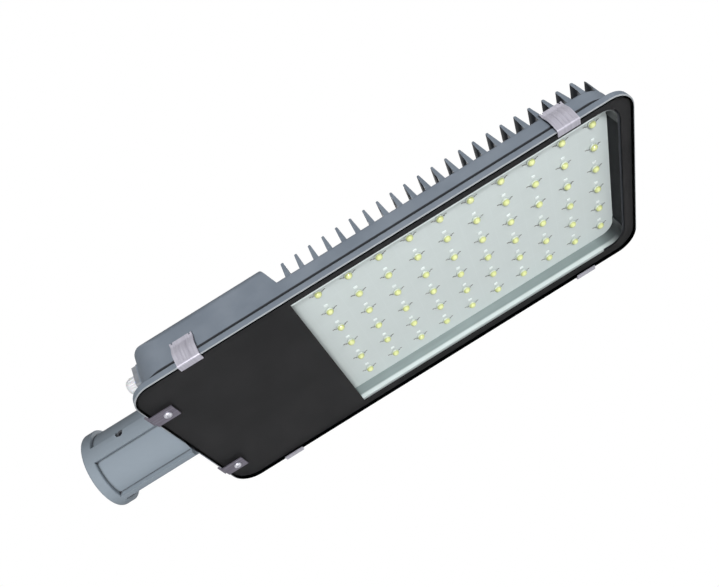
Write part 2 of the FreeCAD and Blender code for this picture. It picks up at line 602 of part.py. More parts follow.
def fins():
    """Tapered fins across the plate, higher towards the middle of the row."""
    body = new_body("fins")
    root = f"{PLATE} - fin_sink"
    top = f"{FIN_TOP} + fin_arch"
    blade = new_sketch(body, "FinSection", "XZ_Plane")
    outline(blade, [
        (f"{FIN_START} - fin_root / 2", root, None),
        (f"{FIN_START} + fin_root / 2", root, None),
        (f"{FIN_START} + fin_tip / 2", top, None),
        (f"{FIN_START} - fin_tip / 2", top, None),
    ])
    pad = feature(body, "Pad", blade, f"2 * ({WALL_HALF} - fin_end_inset)", "both")
    row = body.newObject("PartDesign::LinearPattern", "FinRow")
    row.Originals = [pad]
    row.Direction = (blade, ["H_Axis"])
    row.Mode = "Spacing"
    row.Offset = number("fin_pitch")
    row.Occurrences = round(number("fin_count"))
    row.setExpression("Offset", bound("fin_pitch"))
    row.setExpression("Occurrences", bound("fin_count"))
    body.Tip = row
    doc.recompute()

    # Everything above the arched top line, and outside the leaning ends, comes off.
    arch = new_sketch(body, "ArchLine", "XZ_Plane")
    reach = f"({FIN_SPAN} / 2 + fin_pitch)"
    middle = f"{FIN_START} + {FIN_SPAN} / 2"
    outline(arch, [
        (f"{middle} - {reach}", FIN_TOP, None),
        (middle, f"{FIN_TOP} + 2 * fin_arch", f"0.98 * {reach}^2 / (2 * fin_arch)"),
        (f"{middle} + {reach}", FIN_TOP, None),
        (f"{middle} + {reach}", f"{FIN_TOP} + 4 * fin_arch", None),
        (f"{middle} - {reach}", f"{FIN_TOP} + 4 * fin_arch", None),
    ])
    feature(body, "Pocket", arch, f"3 * {WALL_HALF}", "both")
    ends = new_sketch(body, "LeaningEnds", "YZ_Plane", f"{HOOD_FOOT}")
    edge = f"({WALL_HALF} - fin_end_inset)"
    for sign in ("-", ""):
        outline(ends, [
            (f"{sign}({edge})", root, None),
            (f"{sign}({edge} + 5)", root, None),
            (f"{sign}({edge} + 5)", f"{top} + 5", None),
            (f"{sign}({edge} - fin_lean)", f"{top} + 5", None),
        ])
    feature(body, "Pocket", ends, f"{WALL_TIP} - {HOOD_FOOT} + 20", "forward")

    plan = new_sketch(body, "WallPlan", "XY_Plane", f"{PLATE} - fin_sink - 1")
    rounded_field(plan, WALL_REAR, f"{WALL_TIP} - fin_end_inset", edge, "wall_corner", "wall_corner")
    rounded_field(plan, f"{WALL_REAR} - 30", f"{WALL_TIP} + 30", f"({WALL_HALF} + 30)", "5", "5")
    feature(body, "Pocket", plan, "crest_level")

    low_top = number(FIN_TOP) - 0.01

    def along_the_top(edge):
        level = min(vertex.Z for vertex in edge.Vertexes) > low_top
        return level and edge.BoundBox.YLength > 10 and edge.BoundBox.XLength < 0.01

    dress_edges(body, "Chamfer", "FinEdges", "fin_edge_chamfer", along_the_top)
    return body


def glass_cover():
    """Toughened pane with two holes for the tab screws."""
    body = new_body("glass_cover")
    pane = new_sketch(body, "Pane", "XY_Plane", PANE)
    rounded_field(pane, PANE_REAR, PANE_TIP, PANE_HALF, "glass_corner", "glass_corner")
    for side in ("-tab_offset", "tab_offset"):
        circle(pane, TAB_SCREW, side, "tab_screw_dia / 2 + pane_hole_play")
    feature(body, "Pad", pane, "glass_thick")
    return body


def printed_border():
    """Black fired print on the inner face, with the clear window left open."""
    body = new_body("printed_border")
    field = new_sketch(body, "Border", "XY_Plane", f"{PANE} + glass_thick")
    corner = "glass_corner - edge_relief"
    rounded_field(field, f"{PANE_REAR} + edge_relief", f"{PANE_TIP} - edge_relief",
                  f"({PANE_HALF} - edge_relief)", corner, corner)
    rounded_field(field, f"{PANE_REAR} + border_rear", f"{PANE_TIP} - border_tip",
                  f"({PANE_HALF} - border_side)", None, "window_corner")
    for side in ("-tab_offset", "tab_offset"):
        circle(field, TAB_SCREW, side, "tab_screw_dia / 2 + pane_hole_play")
    feature(body, "Pad", field, "print_thick")
    return body


def gasket():
    """Rubber frame between the print and the ledge."""
    body = new_body("gasket")
    ring = new_sketch(body, "Ring", "XY_Plane", f"{PANE} + glass_thick + print_thick")
    for inset in ("edge_relief", "(edge_relief + gasket_width)"):
        corner = f"glass_corner - {inset}"
        rounded_field(ring, f"{PANE_REAR} + {inset}", f"{PANE_TIP} - {inset}",
                      f"({PANE_HALF} - {inset})", corner, corner)
    feature(body, "Pad", ring, "gasket_thick")
    return body


def board_field(sketch, relief):
    """The board's outline, or one inside it."""
    corner = f"board_corner - {relief}"
    rounded_field(sketch, f"{CHAMBER_REAR} + board_rear_play + {relief}",
                  f"{CHAMBER_TIP} - board_play - {relief}",
                  f"(board_width / 2 - {relief})", None, corner)


def led_board():
    """Aluminium board under the plate."""
    body = new_body("led_board")
    field = new_sketch(body, "Board", "XY_Plane", BOARD_FACE)
    board_field(field, "0")
    feature(body, "Pad", field, "board_thick")
    return body


def thermal_pad():
    """Sticky heat-conducting pad that holds the board to the plate."""
    body = new_body("thermal_pad")
    field = new_sketch(body, "Pad", "XY_Plane", f"{CEILING} - pad_thick")
    board_field(field, "pad_relief")
    feature(body, "Pad", field, "pad_thick")
    return body


def emitter_grid(body, sketch, originals):
    """Repeats the features of one emitter in columns and rows."""
    grid = body.newObject("PartDesign::MultiTransform", f"{body.Name}_grid")
    grid.Originals = originals
    steps = []
    ways = (("H_Axis", "led_pitch_along", "led_columns"), ("V_Axis", "led_pitch_across", "led_rows"))
    for axis, pitch, count in ways:
        row = body.newObject("PartDesign::LinearPattern", f"{body.Name}_{pitch}")
        row.Direction = (sketch, [axis])
        row.Mode = "Spacing"
        row.Offset = number(pitch)
        row.Occurrences = round(number(count))
        row.setExpression("Offset", bound(pitch))
        row.setExpression("Occurrences", bound(count))
        steps.append(row)
    grid.Transformations = steps
    body.Tip = grid
    doc.recompute()


def polygon(sketch, x, y, sides, radius):
    """A regular polygon that stands on one of its flats."""
    outline(sketch, [
        (f"{x} + {radius} * cos({360 * (k + 0.5) / sides} * 1 deg)",
         f"{y} + {radius} * sin({360 * (k + 0.5) / sides} * 1 deg)", None)
        for k in range(sides)
    ])


def led_emitters():
    """Lead frames on the board, eight-sided bodies on them, and domed lenses."""
    x = f"({CHAMBER_REAR} + led_lead_in)"
    y = "(-(led_rows - 1) / 2 * led_pitch_across)"

    frames = new_body("led_frames")
    strip = new_sketch(frames, "Leads", "XY_Plane", FRAME_FACE)
    outline(strip, [
        (f"{x} {a} led_frame_length / 2", f"{y} {b} led_frame_width / 2", None)
        for a, b in (("-", "-"), ("+", "-"), ("+", "+"), ("-", "+"))
    ])
    emitter_grid(frames, strip, [feature(frames, "Pad", strip, "led_frame_thick")])

    bodies = new_body("led_bodies")
    cup = new_sketch(bodies, "Cup", "XY_Plane", EMITTER_FACE)
    polygon(cup, x, y, 8, "led_body_dia / 2")
    emitter_grid(bodies, cup, [feature(bodies, "Pad", cup, "led_body_height")])

    lenses = new_body("led_lenses")
    base = new_sketch(lenses, "LensFoot", "XY_Plane", EMITTER_FACE)
    polygon(base, x, y, 8, "led_lens_dia / 2")
    dome = feature(lenses, "Pad", base, "led_lens_height", "backward")
    dome.TaperAngle = -number("led_lens_slope")
    dome.setExpression("TaperAngle", bound("-led_lens_slope"))
    emitter_grid(lenses, base, [dome])
    return [frames, bodies, lenses]


def side_reflector(name, sign):
    """Bright strip along one side of the chamber, bent round the tip corner, with a flange."""
    body = new_body(name)
    inner_tip = f"({CHAMBER_TIP} - strip_tip_play - strip_sheet)"
    rear = f"({CHAMBER_REAR} + strip_rear_play)"
    turned = f"{sign}(strip_half - strip_return)"
    web = new_sketch(body, "Web", "XY_Plane", f"{PANE} + strip_level")
    outline(web, [
        (rear, f"{sign}strip_half", None),
        (inner_tip, f"{sign}strip_half", "strip_corner"),
        (inner_tip, turned, None),
        (f"{inner_tip} + strip_sheet", turned, None),
        (f"{inner_tip} + strip_sheet", f"{sign}(strip_half + strip_sheet)",
         "strip_corner + strip_sheet"),
        (rear, f"{sign}(strip_half + strip_sheet)", None),
    ])
    feature(body, "Pad", web, f"{BOARD_FACE} - {PANE} - strip_level")
    flange = new_sketch(body, "Flange", "XY_Plane", f"{PANE} + strip_level")
    outer = f"{sign}({ROOM_HALF} - flange_play)"
    outline(flange, [
        (rear, f"{sign}strip_half", None),
        (f"{CHAMBER_TIP} - flange_end", f"{sign}strip_half", None),
        (f"{CHAMBER_TIP} - flange_end", outer, None),
        (rear, outer, None),
    ])
    feature(body, "Pad", flange, "strip_sheet")
    return body


def spring_clip(name, middle, sign):
    """Arched steel clip: lip under the pane, web outside the rim, tongue in the groove."""
    body = new_body(name)
    foot = f"({RIM_HALF} + clip_standoff)"
    crown = f"({foot} + clip_bulge)"
    waist = f"({foot} + clip_waist)"
    lip = f"({PANE_HALF} - clip_lap)"
    web = new_sketch(body, "Profile", "YZ_Plane", middle)
    outline(web, [
        (f"{sign}{lip}", PANE, None),
        (f"{sign}{foot}", PANE, "clip_sheet"),
        (f"{sign}{crown}", f"{PANE} + clip_bulge_level", "clip_bulge_level"),
        (f"{sign}{waist}", f"{PANE} + clip_waist_level", "4 * clip_sheet"),
        (f"{sign}({waist} + clip_flare)", f"{PANE} + clip_top_level", None),
        (f"{sign}({waist} + clip_flare + clip_sheet)", f"{PANE} + clip_top_level", None),
        (f"{sign}({waist} + clip_sheet)", f"{PANE} + clip_waist_level", "3 * clip_sheet"),
        (f"{sign}({crown} + clip_sheet)", f"{PANE} + clip_bulge_level",
         "clip_bulge_level + clip_sheet"),
        (f"{sign}({foot} + clip_sheet)", f"{PANE} - clip_sheet", "2 * clip_sheet"),
        (f"{sign}{lip}", f"{PANE} - clip_sheet", None),
    ])
    feature(body, "Pad", web, "clip_width", "both")
    tongue = new_sketch(body, "Tongue", "YZ_Plane", middle)
    tip = f"({WALL_HALF} - groove_depth + clip_play)"
    outline(tongue, [
        (f"{sign}{tip}", f"{RIM_TOP} + clip_play", None),
        (f"{sign}({crown} + clip_sheet / 2)", f"{RIM_TOP} + clip_play", None),
        (f"{sign}({crown} + clip_sheet / 2)", f"{WALL_FOOT} - clip_play", None),
        (f"{sign}{tip}", f"{WALL_FOOT} - clip_play", None),
    ])
    feature(body, "Pad", tongue, "clip_tongue_width", "both")
    return body


def hinge_tab(name, side):
    """Sheet tab on the pane's rear edge, hooked through the lip and held by one screw."""
    body = new_body(name)
    hook = "(socket_reach - tab_hook_reach)"
    bend = f"({PANE_REAR} - tab_hook_play - tab_sheet)"
    low = f"{PANE} + tab_hook_level"
    leaf = new_sketch(body, "Leaf", "XZ_Plane", f"-({side})")
    outline(leaf, [
        (bend, f"{PANE} - tab_sheet", "0.7 * tab_sheet"),
        (f"{PANE_REAR} + tab_length", f"{PANE} - tab_sheet", None),
        (f"{PANE_REAR} + tab_length", PANE, None),
        (f"{bend} + tab_sheet", PANE, None),
        (f"{bend} + tab_sheet", f"{low} + tab_sheet", "0.7 * tab_sheet"),
        (hook, f"{low} + tab_sheet", None),
        (hook, low, None),
        (bend, low, None),
    ])
    feature(body, "Pad", leaf, "tab_width", "both")
    hole = new_sketch(body, "ScrewHole", "XY_Plane", f"{PANE} + 1")
    circle(hole, TAB_SCREW, side, "tab_screw_dia / 2 + thread_clearance")
    feature(body, "Pocket", hole, "tab_sheet + 2", "backward")
    return body


def pan_screw(name, shank, length, head, height, x, y, z):
    """Pan-headed screw: head below its seat, shank above it."""
    body = new_body(name)
    half = new_sketch(body, "HalfSection", "XZ_Plane")
    outline(half, [
        ("0", f"-{height}", None),
        (f"0.24 * {head}", f"-{height}", None),
        (f"0.42 * {head}", f"-0.66 * {height}", None),
        (f"{head} / 2", "0", None),
        (f"{shank} / 2", "0", None),
        (f"{shank} / 2", length, None),
        ("0", length, None),
    ])
    revolve(body, half, "V_Axis")
    place(body, x, y, z)
    return body


def hexagon_screw(name, length, x, y, z):
    """Hexagon-headed screw of the driver bay: head below its seat, shank above it."""
    body = new_body(name)
    head = new_sketch(body, "Head", "XY_Plane")
    polygon(head, "0", "0", 6, "driver_head_dia / 2")
    feature(body, "Pad", head, "driver_head_height", "backward")
    shank = new_sketch(body, "Shank", "XY_Plane")
    circle(shank, "0", "0", "driver_screw_dia / 2")
    feature(body, "Pad", shank, length)
    place(body, x, y, z)
    return body


def tab_fixings(name, side):
    """The tab's screw and the rubber bush round it between pane and boss."""
    screw = pan_screw(f"tab_screw_{name}", "tab_screw_dia", "tab_screw_reach + tab_sheet",
                      "tab_head_dia", "tab_head_height", TAB_SCREW, side, f"{PANE} - tab_sheet")
    bush = new_body(f"tab_bush_{name}")
    ring = new_sketch(bush, "Ring", "XY_Plane", f"{PANE} + glass_thick + print_thick")
    circle(ring, TAB_SCREW, side, "bush_dia / 2")
    circle(ring, TAB_SCREW, side, "tab_screw_dia / 2 + thread_clearance")
    feature(bush, "Pad", ring, "gasket_thick")
    return screw, bush


def clamp_screw(name, sign):
    """Headless screw in the tube's side, with a six-sided socket, clear of the pole's bore."""
    body = new_body(name)
    face = new_sketch(body, "Shank", "XY_Plane")
    circle(face, "0", "0", "clamp_hole / 2 - thread_clearance")
    feature(body, "Pad", face, "clamp_length")
    key = new_sketch(body, "KeySocket", "XY_Plane", "clamp_length")
    side = "clamp_hole / 4"
    outline(key, [
        (f"{side} * cos({60 * k} * 1 deg)", f"{side} * sin({60 * k} * 1 deg)", None)
        for k in range(6)
    ])
    feature(body, "Pocket", key, "clamp_length / 2", "backward")
    turn = Rotation(Vector(1, 0, 0), 90 if sign == "-" else -90)
    place(body, "clamp_screw_x", f"{sign}(pole_bore / 2 + thread_clearance)", "0", turn)
    return body


def cable_gland():
    """Square flange, stem, dome nut, seal and locknut on the rear wall."""
    along = Rotation(Vector(0, 1, 0), -90)
    stem_radius = "gland_thread_dia / 2"

    def sleeve(name, sections, start):
        body = new_body(name)
        for k, (kind, sides, radius, low, length) in enumerate(sections):
            face = new_sketch(body, f"Ring{k + 1}", "XY_Plane", low)
            if sides:
                polygon(face, "0", "0", sides, radius)
            else:
                circle(face, "0", "0", radius)
            feature(body, kind, face, length)
        place(body, start, "-gland_offset", GLAND_LEVEL, along)
        return body

    flange = new_body("gland_flange")
    plate = new_sketch(flange, "Square", "XY_Plane")
    outline(plate, [
        (f"{x}flange_side / 2", f"{y}flange_side / 2", "flange_side / 12")
        for x, y in (("-", "-"), ("", "-"), ("", ""), ("-", ""))
    ])
    circle(plate, "0", "0", f"{stem_radius} + gland_hole_play")
    feature(flange, "Pad", plate, "flange_thick")
    place(flange, WALL_REAR, "-gland_offset", GLAND_LEVEL, along)

    inner_end = "(rear_wall + locknut_thick + 1)"
    stem = sleeve("gland_stem", [
        ("Pad", 0, stem_radius, f"-{inner_end}", f"{inner_end} + flange_thick + 1.5"),
        ("Pocket", 0, "cable_bore / 2", f"-{inner_end} - 1", f"{inner_end} + flange_thick + 4"),
    ], WALL_REAR)
    seal_end = "(1.5 + seal_play + seal_length)"
    nut = sleeve("gland_nut", [
        ("Pad", 12, "gland_nut_dia / 2", "0", "gland_nut_length"),
        ("Pocket", 0, f"{stem_radius} + seal_play", "-1", f"{seal_end} + 1"),
        ("Pocket", 0, "cable_bore / 2", "0", "gland_nut_length + 1"),
    ], f"{WALL_REAR} - flange_thick")
    crown = number("gland_nut_length")
    dress_edges(nut, "Chamfer", "Dome", "gland_nut_wall",
                lambda edge: len(edge.Vertexes) == 2
                and all(abs(vertex.Z - crown) < 1e-4 for vertex in edge.Vertexes))
    seal = sleeve("gland_seal", [
        ("Pad", 0, stem_radius, "0", "seal_length"),
        ("Pocket", 0, "cable_bore / 2", "-1", "seal_length + 2"),
    ], f"{WALL_REAR} - flange_thick - 1.5 - seal_play / 2")

    locknut = new_body("gland_locknut")
    hexagon = new_sketch(locknut, "Hexagon", "XY_Plane")
    outline(hexagon, [
        (f"locknut_dia / 2 * cos({60 * k} * 1 deg)", f"locknut_dia / 2 * sin({60 * k} * 1 deg)",
         None)
        for k in range(6)
    ])
    circle(hexagon, "0", "0", f"{stem_radius} + thread_clearance / 2")
    feature(locknut, "Pad", hexagon, "locknut_thick")
    place(locknut, f"{BAY_REAR} + locknut_thick", "-gland_offset", GLAND_LEVEL, along)
    return [flange, stem, nut, seal, locknut]


def driver_set():
    """Sealed driver with two ears, its screws, the terminal block and the earth screw."""
    body = new_body("driver")
    start = f"({BAY_REAR} + driver_start)"
    case = new_sketch(body, "Case", "XY_Plane", f"{BAY_CEILING} - driver_height")
    rounded_field(case, f"{start} + driver_ear", f"{start} + driver_length - driver_ear",
                  "(driver_width / 2)", "ear_thick", "ear_thick")
    feature(body, "Pad", case, "driver_height")
    ears = new_sketch(body, "Ears", "XY_Plane", f"{BAY_CEILING} - ear_thick")
    rounded_field(ears, start, f"{start} + driver_length", "(driver_width / 4)",
                  "ear_thick", "ear_thick")
    for side in ("-1", "1"):
        circle(ears, driver_screw_x(side), "0", "driver_screw_dia / 2 + thread_clearance")
    feature(body, "Pad", ears, "ear_thick")
    pieces = [body]
    for name, side in (("rear", "-1"), ("front", "1")):
        pieces.append(hexagon_screw(f"driver_screw_{name}", "ear_thick + driver_screw_length",
                                    driver_screw_x(side), "0", f"{BAY_CEILING} - ear_thick"))
    pieces.append(hexagon_screw("earth_screw", "driver_screw_length / 2",
                                f"{BAY_REAR} + earth_start", "earth_offset", BAY_CEILING))

    terminal = new_body("terminal_block")
    foot = new_sketch(terminal, "Foot", "XY_Plane", f"{BAY_CEILING} - terminal_height")
    x = f"({BAY_REAR} + terminal_start)"
    outline(foot, [
        (x, "-terminal_offset - terminal_width / 2", "1"),
        (f"{x} + terminal_length", "-terminal_offset - terminal_width / 2", "1"),
        (f"{x} + terminal_length", "-terminal_offset + terminal_width / 2", "1"),
        (x, "-terminal_offset + terminal_width / 2", "1"),
    ])
    feature(terminal, "Pad", foot, "terminal_height")
    entries = new_sketch(terminal, "Entries", "XZ_Plane", "terminal_offset - terminal_width")
    level = f"({BAY_CEILING} - terminal_height / 2)"
    for pole in range(round(number("terminal_poles"))):
        middle = f"({x} + ({pole} + 0.5) * terminal_length / terminal_poles)"
        outline(entries, [
            (f"{middle} - terminal_entry / 2", f"{level} - terminal_entry / 2", None),
            (f"{middle} + terminal_entry / 2", f"{level} - terminal_entry / 2", None),
            (f"{middle} + terminal_entry / 2", f"{level} + terminal_entry / 2", None),
            (f"{middle} - terminal_entry / 2", f"{level} + terminal_entry / 2", None),
        ])
    feature(terminal, "Pocket", entries, "2 * terminal_width", "backward")
    pieces.append(terminal)
    return pieces


pieces = [join("housing", [casting(), fins()])]
pieces += [glass_cover(), printed_border(), gasket(), led_board(), thermal_pad()]
pieces += led_emitters()
for side_name, sign in (("left", "-"), ("right", "")):
    pieces.append(side_reflector(f"side_reflector_{side_name}", sign))
    pieces.append(spring_clip(f"clip_rear_{side_name}", f"{PANE_REAR} + rear_clip_inset", sign))
    pieces.append(spring_clip(f"clip_front_{side_name}", f"{PANE_TIP} - front_clip_inset", sign))
    pieces.append(hinge_tab(f"hinge_tab_{side_name}", f"{sign}tab_offset"))
    pieces += tab_fixings(side_name, f"{sign}tab_offset")
    pieces.append(clamp_screw(f"clamp_screw_{side_name}", sign))
pieces += cable_gland()
pieces += driver_set()
doc.recompute()

for item in doc.Objects:
    failed = {"Invalid", "Error"} & set(item.State)
    if failed:
        raise RuntimeError(f"{item.Label} could not be computed: {item.State}")
for piece in pieces:
    if piece.Shape.isNull() or not piece.Shape.isValid():
        raise RuntimeError(f"{piece.Label} has no valid shape")

os.makedirs("parts", exist_ok=True)
for piece in pieces:
    piece.Shape.exportStep(f"parts/{piece.Label}.step")
print(len(pieces), "nodes written")
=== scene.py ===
import math
import bmesh
import bpy
from mathutils import Euler, Matrix, Vector


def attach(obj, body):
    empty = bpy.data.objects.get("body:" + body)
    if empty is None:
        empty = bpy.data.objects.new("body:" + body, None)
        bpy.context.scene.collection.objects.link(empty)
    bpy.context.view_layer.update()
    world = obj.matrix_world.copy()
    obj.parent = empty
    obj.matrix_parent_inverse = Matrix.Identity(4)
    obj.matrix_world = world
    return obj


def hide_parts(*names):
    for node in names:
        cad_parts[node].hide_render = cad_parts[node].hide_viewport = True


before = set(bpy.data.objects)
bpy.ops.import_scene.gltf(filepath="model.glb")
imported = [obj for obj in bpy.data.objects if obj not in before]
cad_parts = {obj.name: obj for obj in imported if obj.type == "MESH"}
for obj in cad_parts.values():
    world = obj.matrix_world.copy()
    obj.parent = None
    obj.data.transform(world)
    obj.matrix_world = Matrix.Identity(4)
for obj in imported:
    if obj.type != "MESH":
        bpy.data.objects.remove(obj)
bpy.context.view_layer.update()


# Housing. One pressure die casting in aluminium alloy: pole socket, hood over the driver bay, finned
# plate and rim, in satin blue-grey powder, dusty on top. Painted light: the pole socket is painted
# lighter; the fins' flanks, the groove over the rim, the corners and the inside of the LED chamber get
# painted shade; the rim's lower lip gets a painted highlight.
MM = 0.001
POWDER_DARK = (0.176, 0.206, 0.246, 1)
POWDER_LIGHT = (0.212, 0.244, 0.286, 1)
POWDER_DUST = (0.300, 0.310, 0.305, 1)
# Painted light: the pole socket's coat is painted lighter than the rest.
SLEEVE_PAINTED_LIGHT = (0.232, 0.270, 0.308, 1)
SLEEVE_END, SLEEVE_FADE = 0.115, 0.03
# Painted shade: the housing's faces inside the LED chamber are painted nearly black.
CHAMBER_PAINTED_SHADE = (0.034, 0.035, 0.038, 1)
CHAMBER = (("X", 0.165, 0.5791), ("Y", -0.1070, 0.1070), ("Z", -0.0325, -0.0076))
CHAMBER_CORNER = 0.6718  # X and the distance from the middle, added up, in the walls' tip corners
# Painted shade on the fins' flanks, which face along X.
FLANK_PAINTED_SHADE = (0.084, 0.090, 0.101, 1)
COAT_SHINE = 0.015
FLANK_TURN = (0.45, 0.75)  # how far a face looks along X where a flank begins, and where it is one
FIN_MIDDLE, FIN_REACH = 0.4142, 0.1595
FIN_FOOT, FOOT_FADE = -0.006, 0.004
FIN_HEAD, HEAD_FADE, HEAD_SHARE = 0.013, 0.010, 0.80
GROOVE_LEVEL, GROOVE_HALF, GROOVE_WALL = -0.02395, 0.0009, 0.104
CORNER_REACH, CORNER_SHADE = 0.003, (0.80, 0.46)
# Painted shade, laid in the groove over the rim and in the concave corners.
PAINTED_SHADE = (0.045, 0.048, 0.054, 1)
LIP_EDGE, LIP_FADE, CLEAR_OF_SOCKET = -0.0315, 0.0002, 0.128
# Painted highlight along the rim's lower lip.
LIP_PAINTED_HIGHLIGHT = (0.315, 0.335, 0.355, 1)
UPWARD, DUST_SHARE = (0.55, 1.0), 0.30
TONE_MM, DUST_MM, SHEEN_MM, ORANGE_SKIN_MM = 38, 60, 9, 1.1
SATIN = (0.42, 0.60)


def shader_node(tree, kind, values=(), **settings):
    """A node of that kind, with its settings and the values of its inputs."""
    made = tree.nodes.new("ShaderNode" + kind)
    for setting, value in settings.items():
        setattr(made, setting, value)
    for socket, value in values:
        made.inputs[socket].default_value = value
    return made


def new_finish(name, shader_values):
    """A node material, and its tree, its shader and the place on the object that patterns read."""
    finish = bpy.data.materials.new(name)
    finish.use_nodes = True
    tree = finish.node_tree
    shader = tree.nodes["Principled BSDF"]
    for socket, value in shader_values.items():
        shader.inputs[socket].default_value = value
    place = shader_node(tree, "TexCoord").outputs["Object"]
    return finish, tree, shader, place


def cloudy(tree, place, spot_mm, stretch=(1, 1, 1), detail=3.0):
    """A noise whose spots are about so large, drawn out along the axes with a small stretch."""
    mapping = shader_node(tree, "Mapping", [("Scale", stretch)])
    tree.links.new(place, mapping.inputs["Vector"])
    noise = shader_node(tree, "TexNoise", [("Scale", 1 / (spot_mm * MM)), ("Detail", detail)])
    tree.links.new(mapping.outputs["Vector"], noise.inputs["Vector"])
    return noise.outputs["Fac"]


def between(tree, factor, first, second, low=0.35, high=0.65):
    """A colour that goes from first to second as the factor goes from low to high."""
    ramp = shader_node(tree, "ValToRGB")
    for stop, (position, colour) in zip(ramp.color_ramp.elements, ((low, first), (high, second))):
        stop.position = position
        stop.color = colour
    tree.links.new(factor, ramp.inputs["Fac"])
    return ramp.outputs["Color"]


def over(tree, factor, under, upper):
    """The upper colour laid over the one under it as far as the factor says."""
    mix = shader_node(tree, "Mix", data_type="RGBA")
    tree.links.new(factor, mix.inputs["Factor"])
    for colour, socket in ((under, mix.inputs["A"]), (upper, mix.inputs["B"])):
        if isinstance(colour, tuple):
            socket.default_value = colour
        else:
            tree.links.new(colour, socket)
    return mix.outputs["Result"]


def axes(tree, vector):
    """The parts of a vector along X, Y and Z."""
    parts = shader_node(tree, "SeparateXYZ")
    tree.links.new(vector, parts.inputs["Vector"])
    return parts.outputs


def figure(tree, operation, *values):
    """The outcome of one step of arithmetic on sockets and plain numbers."""
    made = shader_node(tree, "Math", operation=operation)
    for k, value in enumerate(values):
        if isinstance(value, bpy.types.NodeSocket):
            tree.links.new(value, made.inputs[k])
        else:
            made.inputs[k].default_value = value
    return made.outputs["Value"]


def rise(tree, value, start, end, low=0.0, high=1.0):
    """A number that goes from low to high while the value goes from start to end."""
    ranged = shader_node(tree, "MapRange", [("From Min", start), ("From Max", end),
                                            ("To Min", low), ("To Max", high)])
    tree.links.new(value, ranged.inputs["Value"])
    return ranged.outputs["Result"]


def spread(tree, factor, low, high):
    """A number that goes from low to high with the factor."""
    return rise(tree, factor, 0.0, 1.0, low, high)


def raise_grain(tree, shader, factor, height_mm, strength):
    """Lets the factor stand up from the surface as a relief."""
    bump = shader_node(tree, "Bump", [("Strength", strength), ("Distance", height_mm * MM)])
    tree.links.new(factor, bump.inputs["Height"])
    tree.links.new(bump.outputs["Normal"], shader.inputs["Normal"])


def coat(nodes, finish):
    """Gives carried-over CAD nodes their finish."""
    for node in nodes:
        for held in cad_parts[node].material_slots:
            held.material = finish


powder, tree, shader, place = new_finish("satin blue-grey powder coat", {})
links = tree.links
spot = axes(tree, place)
turned = axes(tree, shader_node(tree, "TexCoord").outputs["Normal"])
sideward = figure(tree, "ABSOLUTE", spot["Y"])
cornerward = figure(tree, "ADD", spot["X"], sideward)
tone = between(tree, cloudy(tree, place, TONE_MM), POWDER_DARK, POWDER_LIGHT)
# Painted light: lighter over the pole socket, fading out towards the hood.
tone = over(tree, rise(tree, spot["X"], SLEEVE_END, SLEEVE_END - SLEEVE_FADE), tone, SLEEVE_PAINTED_LIGHT)

# Painted shade over the housing's faces inside the LED chamber.
inside = figure(tree, "LESS_THAN", cornerward, CHAMBER_CORNER)
for axis, low, high in CHAMBER:
    inside = figure(tree, "MULTIPLY", inside, figure(tree, "GREATER_THAN", spot[axis], low))
    inside = figure(tree, "MULTIPLY", inside, figure(tree, "LESS_THAN", spot[axis], high))
tone = over(tree, inside, tone, CHAMBER_PAINTED_SHADE)

# Painted shade on the fins' flanks, fading out at their foot and head.
fin_flank = figure(tree, "COMPARE", spot["X"], FIN_MIDDLE, FIN_REACH)
for share in (rise(tree, figure(tree, "ABSOLUTE", turned["X"]), *FLANK_TURN),
              rise(tree, spot["Z"], FIN_FOOT, FIN_FOOT + FOOT_FADE),
              rise(tree, spot["Z"], FIN_HEAD - HEAD_FADE, FIN_HEAD, 1.0, HEAD_SHARE)):
    fin_flank = figure(tree, "MULTIPLY", fin_flank, share)
tone = over(tree, fin_flank, tone, FLANK_PAINTED_SHADE)
links.new(spread(tree, fin_flank, COAT_SHINE, 0.0), shader.inputs["Specular IOR Level"])

# Painted shade along the groove between rim and wall.
from_groove = figure(tree, "ABSOLUTE", figure(tree, "SUBTRACT", spot["Z"], GROOVE_LEVEL))
in_groove = figure(tree, "MULTIPLY", rise(tree, from_groove, 2 * GROOVE_HALF, GROOVE_HALF),
                   figure(tree, "GREATER_THAN", sideward, GROOVE_WALL))
tone = over(tree, in_groove, tone, PAINTED_SHADE)
# Painted shade in the concave corners, from ambient occlusion.
corners = shader_node(tree, "AmbientOcclusion", [("Distance", CORNER_REACH)], samples=8)
tone = over(tree, rise(tree, corners.outputs["AO"], *CORNER_SHADE), tone, PAINTED_SHADE)

# Painted highlight on the rim's lower lip, clear of the pole socket.
on_lip = figure(tree, "MULTIPLY", rise(tree, spot["Z"], LIP_EDGE + LIP_FADE, LIP_EDGE),
                figure(tree, "GREATER_THAN", cornerward, CLEAR_OF_SOCKET))
tone = over(tree, on_lip, tone, LIP_PAINTED_HIGHLIGHT)
dusty = figure(tree, "MULTIPLY", rise(tree, turned["Z"], *UPWARD, 0.0, DUST_SHARE),
               cloudy(tree, place, DUST_MM, detail=6.0))
links.new(over(tree, dusty, tone, POWDER_DUST), shader.inputs["Base Color"])
links.new(spread(tree, cloudy(tree, place, SHEEN_MM), *SATIN), shader.inputs["Roughness"])
orange_skin = cloudy(tree, place, ORANGE_SKIN_MM, detail=1.0)
raise_grain(tree, shader, orange_skin, height_mm=0.05, strength=0.35)
coat(["housing"], powder)


# Gasket. A cord of black silicone in the rim, pressed between the ledge and the printed border.
# The bushes round the tab screws are punched from the same rubber.
RUBBER_TONES = ((0.014, 0.014, 0.014, 1), (0.026, 0.026, 0.026, 1))


